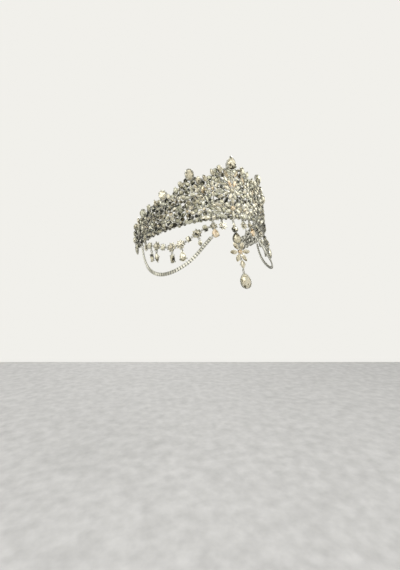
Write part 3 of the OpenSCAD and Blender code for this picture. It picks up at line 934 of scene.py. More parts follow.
@dataclass(frozen=True)
class WallDesign:
    """Where the stones of one side stand, and the openings that stay between them."""

    lower: tuple[Flower, ...] = (
        Flower(21.6, 11, 5, -30, 60, 6.4, 3.8, 3.8, shine=0.35),
        Flower(33.8, 12.2, 5, -30, 60, 6.4, 3.8, 3.8),
        Flower(46, 14.6, 6, -30, 60, 5.8, 4.2, 5),
        Flower(58.2, 12.6, 5, -30, 60, 6.4, 3.8, 3.8),
        Flower(70.4, 11.6, 5, -30, 60, 6.4, 3.8, 3.8),
        Flower(82.6, 11.2, 3, 0, 90, 6.2, 3.8, 3.8),
    )
    upper: tuple[Flower, ...] = (
        Flower(14, 30.4, 6, -30, 60, 6, 3.8, 4),
        Flower(27.8, 27, 5, -18, 54, 7.2, 4, 5),
        Flower(40, 24.6, 5, -18, 54, 5.2, 3.6, 3.8),
        Flower(52.2, 25.4, 3, 0, 90, 5.4, 3.4, 3.6),
        Flower(64.2, 20.8, 3, 0, 90, 4.4, 3.4, 3.6),
        Flower(76.4, 20.4, 3, 0, 90, 5, 3.4, 3.6),
    )
    slants: tuple[tuple[float, float, float, float, float], ...] = (
        (13.6, 6.6, 6.4, 3.4, 150),
        (11.6, 9.4, 9, 3.6, 150),
        (11, 13.8, 9, 3.6, 148),
    )
    crest: tuple[tuple[float, float, float, float, float, Cut], ...] = (
        (8.2, 48.4, 8.6, 5.4, 98, Cut.OVAL),
        (12.9, 45.6, 7.6, 4.8, 112, Cut.NAVETTE),
        (18.2, 41, 7.6, 4.4, 112, Cut.NAVETTE),
        (22.8, 40, 8, 5, 78, Cut.OVAL),
        (27.6, 47.2, 11, 8.4, 90, Cut.OVAL),
        (34.4, 39.4, 8, 5.2, 108, Cut.OVAL),
        (38.6, 35.4, 8.4, 4.8, 96, Cut.NAVETTE),
        (44.8, 32.4, 7, 4.4, 104, Cut.NAVETTE),
        (49.2, 36.4, 10.2, 8.2, 96, Cut.OVAL),
        (56.8, 31.6, 8, 5, 100, Cut.NAVETTE),
        (64.4, 31.4, 7.4, 5.2, 98, Cut.OVAL),
        (73.2, 30, 9.6, 7.4, 95, Cut.OVAL),
        (81.6, 26.4, 8, 5, 100, Cut.NAVETTE),
        (89.6, 23.4, 8.6, 6.2, 95, Cut.OVAL),
        (97.4, 19.6, 7.4, 4.6, 98, Cut.NAVETTE),
        (104, 14.8, 7.4, 5.4, 96, Cut.OVAL),
    )
    peak: tuple[float, float, float, float, float, Cut] = (0, 54.4, 13, 10.4, 90, Cut.PEAR)
    star: Flower = Flower(0, 27.8, 8, 22.5, 45, 7.8, 4, 5.4, shine=0.45, spots={1: 0.7, 2: 1.0})
    rose: Flower = Flower(0, 10.2, 6, 30, 60, 7, 4.2, 6, shine=0.3)
    rim_first: float = 9.4
    rim_step: float = 12.2
    rim_long: int = 8
    rim_rounds: int = 5
    back_reach: float = 108.5

    def rim(self) -> list[Stone]:
        """Long and round stones in turn, along the rim."""
        row = []
        for i in range(self.rim_long):
            place = self.rim_first + i * self.rim_step
            row.append(Stone(place, 2.1, 10.4, 5.8, 0, Cut.NAVETTE, warmth=0.1))
            if i < self.rim_rounds:
                row.append(Stone(place + self.rim_step / 2, 1.7, 5, 5, warmth=0.2))
        return row

    def field(self) -> list[Stone]:
        """The small stones that one side's solid node holds."""
        slants = [Stone(*row, Cut.NAVETTE, warmth=0.2, shine=0.4) for row in self.slants]
        flowers = [stone for flower in (*self.lower, *self.upper) for stone in flower.stones()]
        return [*self.rim(), *slants, *flowers]

    def crest_stones(self) -> list[Stone]:
        """The main stones along the top edge of one side."""
        return [Stone(*row, main=True, warmth=0.15) for row in self.crest]

    def middle(self) -> list[Stone]:
        """Petals of the two motifs on the middle line."""
        return [*self.star.stones(False), *self.rose.stones(False)]

    def peak_stone(self) -> Stone:
        """The tallest stone, at the front's middle."""
        return Stone(*self.peak, main=True, warmth=0.12)


DESIGN = WallDesign()

# Openings between the stones that the photograph shows: place, height and radius
OPENINGS = (
    (36, 20, 1.3), (34.2, 20, 1.1), (29, 15.4, 1.2), (24.5, 11.5, 0.8), (36.5, 6, 1.0), (29.5, 6.2, 0.9),
    (20.5, 14, 0.7), (15, 21, 1.1), (12.8, 20.4, 1.1), (11, 19, 0.9), (9, 31, 0.9), (8.3, 30, 0.7),
    (6.5, 40, 1.0), (6, 21, 0.8), (2.4, 17, 0.9), (30, 23, 0.8),
)
# Bright masses of stones at the front, whose fine stones get a painted highlight: place, height and radius
BRIGHT = ((17, 12, 12), (0, 28, 16))
# Upper edge of the fine stones: place and height
TOP_EDGE = (
    (0, 50), (4.5, 48), (8.2, 50), (12.9, 47), (15.5, 42), (20, 40), (24, 43), (27.6, 48), (31, 43),
    (34.4, 41), (38.6, 36.5), (42, 32), (46, 34), (49.2, 38), (53, 33), (56.8, 32.5), (60.6, 30),
    (64.4, 32.5), (69, 29),
    (73.2, 32), (77.6, 27), (81.6, 27.5), (85.6, 24), (89.6, 24.5), (93.6, 20.5), (97.4, 20.5), (101, 16),
    (104, 16.5), (108.5, 11),
)
# Small rounds on the middle line, where the two sides meet
MIDDLE_ROUNDS = ((18.6, 2.6), (40.4, 3.4), (43.9, 3.0), (47, 2.4), (2.6, 2.6))


def within(spots: Iterable[Spot], place: float, height: float, reach: float = 0.0) -> Place | None:
    """Finds the round spot of the wall that a point lies in or close to.

    Args:
        spots: Place, height and radius of each spot.
        place: Degrees round the crown from the front.
        height: Height over the rim.
        reach: How far outside a spot still counts.

    Returns:
        How far the point is to the right of the spot's middle and above it, or None outside them all.
    """
    for middle, level, radius in spots:
        right, up = -math.radians(place - middle) * WALL.radius(place, height), height - level
        if math.hypot(right, up) < radius + reach:
            return right, up
    return None


class FineStones:
    """Fills the wall between the larger stones with the largest small ones that fit, as a setter would."""

    step = 0.3
    foot = -0.6
    least = 0.8
    most = 2.5
    most_behind = 3.6
    longest_stone = 9.6
    lap = 0.55
    top_lap = 1.2
    rim_lap = 1.0
    middle_gap = 0.1
    # How far round an opening the fine stones are painted dark
    painted_shade_reach = 2.6

    def __init__(self, kept: Iterable[Stone]) -> None:
        """Measures how far every point of the wall is from the stones that stand already.

        Args:
            kept: Those stones.
        """
        places = np.arange(0, DESIGN.back_reach, math.degrees(self.step / WALL.rim_radius))
        heights = np.arange(self.foot, 56, self.step)
        self.place, self.height = np.meshgrid(places, heights)
        run = WALL.front_lean * np.clip(np.cos(np.radians(self.place)), 0, None) ** 2
        self.radius = WALL.rim_radius + run * np.clip(self.height, 0, None)
        top = np.interp(self.place, [p for p, _ in TOP_EDGE], [h for _, h in TOP_EDGE])
        across = np.radians(self.place) * self.radius
        self.clear = np.minimum(top + self.top_lap - self.height, self.height + self.rim_lap)
        self.clear = np.minimum(self.clear, across - self.middle_gap)
        for stone in kept:
            self.take(stone)
        for place, height, radius in OPENINGS:
            self.take(Stone(place, height, 2 * radius, 2 * radius))

    def offsets(self, stone: Stone) -> tuple[np.ndarray, np.ndarray]:
        """Measures how far every point of the wall is from a stone's middle.

        Args:
            stone: The stone.

        Returns:
            The distances along its length and across it.
        """
        right = -np.radians(self.place - stone.place) * self.radius
        up = self.height - stone.height
        turn = math.radians(stone.turn)
        return (
            right * math.cos(turn) + up * math.sin(turn),
            up * math.cos(turn) - right * math.sin(turn),
        )

    def take(self, stone: Stone) -> None:
        """Marks the ground that a stone covers."""
        along, across = self.offsets(stone)
        thin = 0.88 if stone.cut is Cut.NAVETTE else 1.0
        share = np.hypot(along / (stone.length / 2), across / (stone.width / 2 * thin)) + 1e-6
        self.clear = np.minimum(self.clear, (share - 1) / share * np.hypot(along, across))

    def at(self, place: float, height: float) -> float:
        """Clearance at a point."""
        column = round(place / math.degrees(self.step / WALL.rim_radius))
        row = round((height - self.foot) / self.step)
        if 0 <= row < self.clear.shape[0] and 0 <= column < self.clear.shape[1]:
            return float(self.clear[row, column])
        return -1.0

    def fill(self) -> list[Stone]:
        """Places the fine stones of one side until no more fit."""
        found: list[Stone] = []
        while True:
            spot = np.unravel_index(np.argmax(self.clear), self.clear.shape)
            room = float(self.clear[spot])
            if room < self.least:
                return found
            place, height = float(self.place[spot]), float(self.height[spot])
            stone = self.longest(place, height, room)
            found.append(stone)
            self.take(stone)

    def longest(self, place: float, height: float, room: float) -> Stone:
        """Chooses the stone for a spot: a narrow one where it has room lengthways, else a round one.

        Args:
            place: Degrees round the crown from the front.
            height: Height over the rim.
            room: Distance to the nearest stone.

        Returns:
            The stone; in a bright mass it points outwards from the mass's middle.
        """
        most = self.most + (self.most_behind - self.most) * back_shade(place) ** 2
        radius = min(room + self.lap, most)
        warmth = 0.3 * ((place * 7.3 + height * 3.1) % 1) ** 2
        # Painted shade: smaller fine stones are painted darker and those near the openings much darker, as
        # recessed stones in shade; in a bright mass they get a painted highlight instead
        painted_shade, shine = 0.45 * min(1.0, 1.5 - radius / self.most), 0.0
        mass = within(BRIGHT, place, height)
        if within(OPENINGS, place, height, self.painted_shade_reach):
            painted_shade = 0.8
        elif mass:
            painted_shade, shine = 0.1, 0.2
        best, way, reach = -math.inf, 0.0, radius * 1.5
        for turn in (math.degrees(math.atan2(mass[1], mass[0])) % 180,) if mass else range(0, 180, 15):
            along, up = reach * math.cos(math.radians(turn)), reach * math.sin(math.radians(turn))
            end = min(self.at(*WALL.along(place, height, s * along, s * up)) for s in (-1, 1))
            if end > best:
                best, way = end, float(turn)
        look = (False, warmth, painted_shade, shine)
        if best > radius * (-0.5 if mass else 0.45):
            length = min(2 * (reach + min(max(best, 0.0), radius) * 0.6), self.longest_stone)
            return Stone(place, height, length, 2 * radius * (0.8 if mass else 0.95), way, Cut.NAVETTE, *look)
        return Stone(place, height, 2 * radius, 2 * radius, 0, Cut.ROUND, *look)


class WireNet:
    """Short wires that solder each fine stone to its nearest neighbour."""

    wire = 0.8
    name = "wire_net"

    def __init__(self, stones: Sequence[Stone]) -> None:
        """Joins the stones' middles with the shortest net.

        Args:
            stones: All the stones of one side.
        """
        middles = np.array([WALL.point(s.place, s.height, 0.1) for s in stones])
        self.lines: list[tuple[np.ndarray, np.ndarray]] = []
        reached = np.zeros(len(middles), bool)
        reached[0] = True
        nearest = np.linalg.norm(middles - middles[0], axis=1)
        parent = np.zeros(len(middles), int)
        while not reached.all():
            i = int(np.argmin(np.where(reached, np.inf, nearest)))
            self.lines.append((middles[parent[i]], middles[i]))
            reached[i] = True
            away = np.linalg.norm(middles - middles[i], axis=1)
            closer = away < nearest
            nearest[closer] = away[closer]
            parent[closer] = i

    def build(self) -> None:
        """Makes round wires along the net, on both sides."""
        curve = bpy.data.curves.new(self.name, "CURVE")
        curve.dimensions = "3D"
        curve.bevel_depth = self.wire / 2 * MM
        curve.bevel_resolution = 1
        curve.use_fill_caps = True
        for flip in (1, -1):
            for ends in self.lines:
                spline = curve.splines.new("POLY")
                spline.points.add(1)
                for point, end in zip(spline.points, ends):
                    point.co = (flip * end[0], end[1], end[2], 1)
        placed(bpy.data.objects.new(self.name, curve))
        bpy.ops.object.convert(target="MESH")
        made = bpy.context.object
        made.name = self.name
        dress(made, SILVER, "crown")


class CrownWall:
    """The wall: the fields of small stones, the motifs at the front, the crest and the net of wires."""

    def build(self) -> None:
        """Builds all of the wall's pieces."""
        stones, crest = DESIGN.field(), DESIGN.crest_stones()
        rounds = [Stone(0, height, width, width) for height, width in MIDDLE_ROUNDS]
        middle = [*DESIGN.star.stones(), *DESIGN.rose.stones(), DESIGN.peak_stone(), *rounds]
        fine = FineStones([*stones, *crest, *middle]).fill()
        log.info("%d fine stones on each side", len(fine))
        for number, (name, side) in enumerate(SIDES.items()):
            self.side(name, side, number, stones, fine, crest)
        self.front(rounds)
        WireNet([*stones, *fine, *crest, *middle]).build()

    def side(
        self,
        name: str,
        side: Matrix,
        number: int,
        stones: Sequence[Stone],
        fine: Sequence[Stone],
        crest: Sequence[Stone],
    ) -> None:
        """Sets the stones of one side.

        Args:
            name: Name of the side.
            side: Identity or the mirror.
            number: Number of the side, which its seeds follow.
            stones: Its petals, hearts, slants and rim stones.
            fine: Its fine stones.
            crest: Its crest stones, each a piece of its own.
        """
        gems, cups = Cluster(f"stones_{name}_cut", 11 + number), Cluster(f"cups_{name}")
        for stone in stones:
            stone.put(gems, cups, side)
        gems.build(SMALL_CRYSTAL, replaced=[f"stones_{name}"])
        cups.build(CUP_SILVER)
        gems, cups = Cluster(f"fine_stones_{name}", 21 + number), Cluster(f"fine_cups_{name}")
        for stone in fine:
            lift = gems.random.uniform(-1.1, -0.2)
            stone.put(gems, cups, side, lift, 12.0, fine=True)
        gems.build(SMALL_CRYSTAL)
        cups.build(CUP_SILVER)
        cups = Cluster(f"crest_cups_{name}")
        for i, stone in enumerate(crest, 1):
            gem = Cluster(f"crest_{name}_{i}_cut", 40 + 20 * number + i)
            stone.put(gem, cups, side, tilt=2.0)
            gem.build(MAIN_CRYSTAL, replaced=[f"crest_{name}_{i}"])
        cups.build(CUP_SILVER)

    def front(self, rounds: Sequence[Stone]) -> None:
        """Sets the star, the rose, the peak and the small rounds on the middle line.

        Args:
            rounds: The small rounds.
        """
        upright = SIDES["left"]
        cups = Cluster("front_cups")
        petals = Cluster("front_petals_cut", 31)
        for stone in DESIGN.middle():
            stone.put(petals, cups, upright, 1.1, claws=(90, 270))
        petals.build(SMALL_CRYSTAL, replaced=["front_petals"])
        small = Cluster("front_rounds", 32)
        for stone in rounds:
            stone.put(small, cups, upright, 0.5)
        small.build(SMALL_CRYSTAL)
        for flower, node, warmth in (
            (DESIGN.star, "front_star_heart", 0.35),
            (DESIGN.rose, "front_flower_heart", 0.9),
        ):
            heart = Stone(
                flower.place, flower.height, flower.heart, flower.heart, main=True, warmth=warmth
            )
            gem = Cluster(f"{node}_cut", 33)
            heart.put(gem, cups, upright, tilt=0.0)
            gem.build(MAIN_CRYSTAL, replaced=[node], slot="warm_stone")
        peak = Cluster("crest_peak_cut", 35)
        DESIGN.peak_stone().put(peak, cups, upright, tilt=0.0)
        peak.build(MAIN_CRYSTAL, replaced=["crest_peak"])
        cups.build(CUP_SILVER)


@dataclass(frozen=True)
class Hanging:
    """Sizes that the hanging pieces share."""

    plate: float = 1.0
    ear_hole: float = 1.6
    ear_wall: float = 0.5
    ring_wire: float = 0.7
    ring_pitch: float = 3.0
    ear_z: float = -1.3
    star_ear: float = 0.37
    seat: float = 0.65

    @property
    def ear_reach(self) -> float:
        """From the end of a stone to the middle of its ear's hole."""
        return self.ear_hole / 2 + 0.25

    @property
    def rim_reach(self) -> float:
        """The same over an open rim."""
        return self.ear_hole / 2 + 0.7


HANG = Hanging()


class HungWork:
    """Stones, metal and rings that hang from the rim, gathered into two clusters."""

    def __init__(self, name: str, seed: int, side: Matrix = SIDES["left"]) -> None:
        """Starts the clusters of one piece."""
        self.gems = Cluster(f"{name}_stones", seed)
        self.metal = Cluster(f"{name}_metal", seed)
        self.side = side

    def at(self, place: float, height: float, turn: float = 0.0, lift: float = 0.0) -> Matrix:
        """Stand on the wall, on this side."""
        return self.side @ WALL.stand(place, height, turn, lift)

    def ring(self, place: float, height: float, turn: float = 90.0) -> None:
        """Jump ring through two ears, with its plane across the wall."""
        self.metal.add(Bench.ring(HANG.ring_pitch, HANG.ring_wire), self.at(place, height, turn), (1, 1, 1))

    def gem(
        self, where: Matrix, cut: Cut, length: float, width: float, warmth: float = 0.2, fine: bool = False
    ) -> None:
        """Makes a cut stone in its cup.

        Args:
            where: Where the cup's foot stands, in millimetres.
            cut: Outline of the stone.
            length: Its length.
            width: Its width.
            warmth: How champagne it is.
            fine: Whether it has plainer facets.
        """
        size = (length, width, width)
        raised = where @ Matrix.Translation((0, 0, 0.14 * width - HANG.plate / 2))
        # Painted light: some stones get a painted highlight, the rest more painted shade
        shine = 0.25 if self.gems.random.random() > 0.6 else 0.0
        tone = Tone(warmth, 0.0 if shine else 0.4, shine)
        self.gems.add(Bench.small(cut, fine), raised, size, tone)
        self.metal.add(Bench.cup(cut, fine=fine), raised, size)

    def ear(self, where: Matrix, x: float, y: float) -> None:
        """Makes a ring-shaped ear round a hole, and the bar that joins it to the piece's middle.

        Args:
            where: The piece's middle.
            x: Millimetres from there to the hole, to the right.
            y: The same, upwards.
        """
        width = HANG.ear_hole + HANG.ear_wall
        flat = where @ Matrix.Translation((x, y, 0)) @ Matrix.Rotation(math.pi / 2, 4, "X")
        self.metal.add(Bench.ring(width, HANG.ear_wall), flat, (1, 1.6, 1))
        reach = math.hypot(x, y) - HANG.ear_hole / 2
        along = where @ Matrix.Rotation(math.atan2(y, x), 4, "Z") @ Matrix.Translation((reach / 2, 0, 0))
        self.metal.add(Bench.bar(), along, (reach, 0.8, 0.7))

    def star(self, where: Matrix, width: float, warmth: float = 0.2) -> None:
        """Makes a star of eight pointed stones round a middle one.

        Args:
            where: Its middle.
            width: Its width.
            warmth: How champagne it is.
        """
        for i in range(8):
            turn = math.radians(22.5 + 45 * i)
            spot = Matrix.Rotation(turn, 4, "Z") @ Matrix.Translation((width * 0.34, 0, 0))
            self.gem(where @ spot, Cut.PEAR, width * 0.36, width * 0.29, warmth, True)
        self.gem(where @ Matrix.Translation((0, 0, 0.6)), Cut.ROUND, width * 0.48, width * 0.48, warmth * 1.5)

    def hung_stone(
        self, place: float, height: float, cut: Cut, length: float, width: float, warmth: float = 0.2
    ) -> None:
        """Makes a stone that hangs by a ring from an ear.

        Args:
            place: Degrees round the crown from the front.
            height: Height of the middle of the ear's hole.
            cut: Outline of the stone.
            length: Its length.
            width: Its width.
            warmth: How champagne it is.
        """
        self.ring(place, height - HANG.ring_pitch / 2)
        middle = height - HANG.ring_pitch - HANG.ear_reach - length / 2
        where = self.at(place, middle, 90)
        self.gem(where, cut, length, width, warmth)
        self.ear(where, length / 2 + HANG.ear_reach, 0)

    def hung_star(self, place: float, width: float) -> Matrix:
        """Makes a star that hangs by a ring from the rim.

        Args:
            place: Degrees round the crown from the front.
            width: Its width.

        Returns:
            Where it stands, in millimetres.
        """
        self.ring(place, HANG.ear_z - HANG.ring_pitch / 2)
        where = self.at(place, HANG.ear_z - HANG.ring_pitch - width * HANG.star_ear)
        self.star(where, width)
        self.ear(where, 0.0, width * HANG.star_ear)
        return where

    def finish(self, body: str, replaced: Sequence[str], slot: str = "set_stones") -> None:
        """Builds both clusters."""
        self.gems.build(SMALL_CRYSTAL, body, replaced, slot)
        self.metal.build(CUP_SILVER, body)


@dataclass(frozen=True)
class Bead:
    """One piece of a side strand and the stone that hangs under it."""

    star: bool
    reach: float
    length: float
    width: float
    drop: tuple[float, float, Cut] | None = None


@dataclass
class SideStrand:
    """Strand of star clusters, ovals and drops under the rim."""

    back: float = 78.0
    front: float = 16.7
    sag: float = 13.2
    end_star: float = 8.2
    pear: tuple[float, float] = (10.0, 7.4)
    tuck: float = 0.36
    beads: tuple[Bead, ...] = (
        Bead(False, 6.8, 5.2, 7.4, (9.6, 5.6, Cut.OVAL)),
        Bead(True, 7.6, 10.2, 10.2, (9.6, 5.4, Cut.NAVETTE)),
        Bead(False, 6.8, 5.2, 7.0),
        Bead(True, 7.6, 10.2, 10.2, (9.6, 5.6, Cut.OVAL)),
        Bead(True, 7.6, 10.2, 10.2, (11, 7.2, Cut.PEAR)),
        Bead(False, 6.8, 5.2, 6.6),
        Bead(True, 7.6, 10.2, 10.2, (6.4, 4.2, Cut.NAVETTE)),
        Bead(False, 6.8, 5.2, 7.4),
    )
    table: list[Place] = field(default_factory=list)

    def __post_init__(self) -> None:
        """Measures the way along the strand for each degree round the crown."""
        way = 0.0
        for i in range(69):
            self.table.append((way, self.back - i))
            rise = self.height(self.back - i) - self.height(self.back - i - 1)
            way += math.hypot(math.radians(WALL.rim_radius), rise)

    @property
    def top(self) -> float:
        """Height of the middle of the end stars."""
        return HANG.ear_z - HANG.ring_pitch - self.end_star * HANG.star_ear

    def height(self, place: float) -> float:
        """Height of the strand at a place."""
        share = (place - self.front) / (self.back - self.front)
        return self.top - self.sag * math.sin(math.pi * share) ** 2

    def at(self, way: float) -> Place:
        """Place and height after a way along the strand."""
        place = float(np.interp(way, [w for w, _ in self.table], [p for _, p in self.table]))
        return place, self.height(place)

    def build(self, name: str, side: Matrix, seed: int) -> None:
        """Builds one side's strand.

        Args:
            name: Name of the side.
            side: Identity or the mirror.
            seed: Seed of its facets' brightness.
        """
        work = HungWork(f"strand_{name}", seed, side)
        ear = self.end_star * HANG.star_ear
        way = ear + HANG.ring_pitch
        for bead in self.beads:
            self.link(work, way)
            self.bead(work, bead, self.at(way), self.at(way + bead.reach))
            way += bead.reach + HANG.ring_pitch
        self.link(work, way)
        end = self.at(way + ear)[0]
        self.end_stars(work, end, ear)
        work.finish("crown", [f"strand_{name}"])

    def link(self, work: HungWork, way: float) -> None:
        """Ring in front of the hole that lies this far along."""
        a, b = self.at(way - HANG.ring_pitch), self.at(way)
        work.ring((a[0] + b[0]) / 2, (a[1] + b[1]) / 2, WALL.slope(a, b))

    def bead(self, work: HungWork, bead: Bead, a: Place, b: Place) -> None:
        """Makes one cluster or stone between its two holes, and what hangs under it.

        Args:
            work: Where its stones and metal are gathered.
            bead: Its sizes.
            a: Place and height of its first hole.
            b: Place and height of its second.
        """
        middle = ((a[0] + b[0]) / 2, (a[1] + b[1]) / 2)
        turn = WALL.slope(a, b)
        where = work.at(*middle, turn)
        lean = math.radians(turn)
        below = bead.width * HANG.star_ear if bead.star else bead.width / 2 + HANG.ear_reach
        down = (0.0, -1.0) if bead.star else (-math.sin(lean), -math.cos(lean))
        holes = [(-bead.reach / 2, 0.0), (bead.reach / 2, 0.0)]
        if bead.drop:
            holes.append((down[0] * below, down[1] * below))
        for hole in holes:
            work.ear(where, *hole)
        if bead.star:
            work.star(where, bead.width)
        else:
            work.gem(where, Cut.OVAL, bead.length, bead.width, 0.15)
        if bead.drop:
            x, y = holes[2]
            right = x * math.cos(lean) - y * math.sin(lean)
            up = x * math.sin(lean) + y * math.cos(lean)
            length, width, cut = bead.drop
            work.hung_stone(*WALL.along(*middle, right, up), cut, length, width)

    def end_stars(self, work: HungWork, end: float, ear: float) -> None:
        """The stars at both ends, and the pear under the front one."""
        for place, hole in ((self.back, (ear, 0.0)), (end, (-ear, 0.0))):
            work.ear(work.hung_star(place, self.end_star), *hole)
        below = self.end_star * self.tuck + self.pear[0] / 2
        where = work.at(end, self.top - below, 90)
        work.gem(where, Cut.PEAR, *self.pear, 0.75)
        work.metal.add(Bench.bar(), where @ Matrix.Translation((below / 2, 0, 0)), (below, 1.0, 0.8))


@dataclass
class CupChain:
    """Long chain of small cups, set closely, that hangs under the strand."""

    route: tuple[Place, ...] = (
        (20.8, -20.2), (23.6, -23.6), (26.5, -27), (30, -31.2), (34, -35.6), (39, -40), (45, -43.4),
        (51, -45.4), (57, -46), (63, -45), (69, -42), (75, -36.6), (79.5, -30), (82.4, -22), (83.8, -14),
        (84.2, -5.5),
    )
    ends: tuple[tuple[float, float, float], ...] = ((19.8, -19.3, -31), (84.2, -2.8, 90))
    pitch: float = 3.0
    width: float = 3.9
    length: float = 2.3

    def points(self) -> list[Place]:
        """Places of the cups, at even steps along a smooth curve through the route."""
        fine: list[Place] = []
        ends = [self.route[0], *self.route, self.route[-1]]
        for i in range(len(self.route) - 1):
            p = [np.array(ends[i + k]) for k in range(4)]
            for t in np.linspace(0, 1, 20, endpoint=False):
                spot = 0.5 * (
                    2 * p[1]
                    + (p[2] - p[0]) * t
                    + (2 * p[0] - 5 * p[1] + 4 * p[2] - p[3]) * t**2
                    + (3 * p[1] - p[0] - 3 * p[2] + p[3]) * t**3
                )
                fine.append((float(spot[0]), float(spot[1])))
        fine.append(self.route[-1])
        scale = math.radians(WALL.rim_radius)
        runs = [math.hypot((b[0] - a[0]) * scale, b[1] - a[1]) for a, b in zip(fine, fine[1:])]
        ways = np.concatenate([[0], np.cumsum(runs)])
        steps = np.linspace(0, ways[-1], round(ways[-1] / self.pitch) + 1)
        return list(zip(*(np.interp(steps, ways, column).tolist() for column in zip(*fine))))

    def build(self, name: str, side: Matrix, seed: int) -> None:
        """Builds one side's chain.

        Args:
            name: Name of the side.
            side: Identity or the mirror.
            seed: Seed of its facets' brightness.
        """
        work = HungWork(f"cup_chain_{name}", seed, side)
        points = self.points()
        for i, (place, height) in enumerate(points):
            a, b = points[max(i - 1, 0)], points[min(i + 1, len(points) - 1)]
            where = work.at(place, height, WALL.slope(a, b), 0.2)
            size = (self.length, self.width, 1.5)
            # Chain stones get a strong painted highlight
            work.gems.add(Bench.small(Cut.SQUARE, True), where, size, Tone(0.1, shine=0.8, calm=0.6))
            work.metal.add(Bench.cup(Cut.SQUARE, fine=True), where, (self.length, self.width, 3.6))
            if i + 1 < len(points):
                # Painted shade: a dark bar under each gap between the cups, where shade falls between them
                joint = where @ Matrix.Translation((self.pitch / 2, 0, 0))
                work.metal.add(Bench.bar(Facet.SHADED_METAL), joint, (self.pitch, self.width * 0.9, 0.9))
        for place, height, turn in self.ends:
            work.ring(place, height, turn)
        work.finish("crown", [f"cup_chain_{name}"], "cup_chain")


@dataclass
class StarDrop:
    """Small star under the rim beside the forehead drop."""

    place: float = 9.4
    width: float = 9.2

    def build(self, name: str, side: Matrix, seed: int) -> None:
        """Builds one side's star.

        Args:
            name: Name of the side.
            side: Identity or the mirror.
            seed: Seed of its facets' brightness.
        """
        work = HungWork(f"star_drop_{name}", seed, side)
        work.hung_star(self.place, self.width)
        work.finish("crown", [f"star_drop_{name}"])


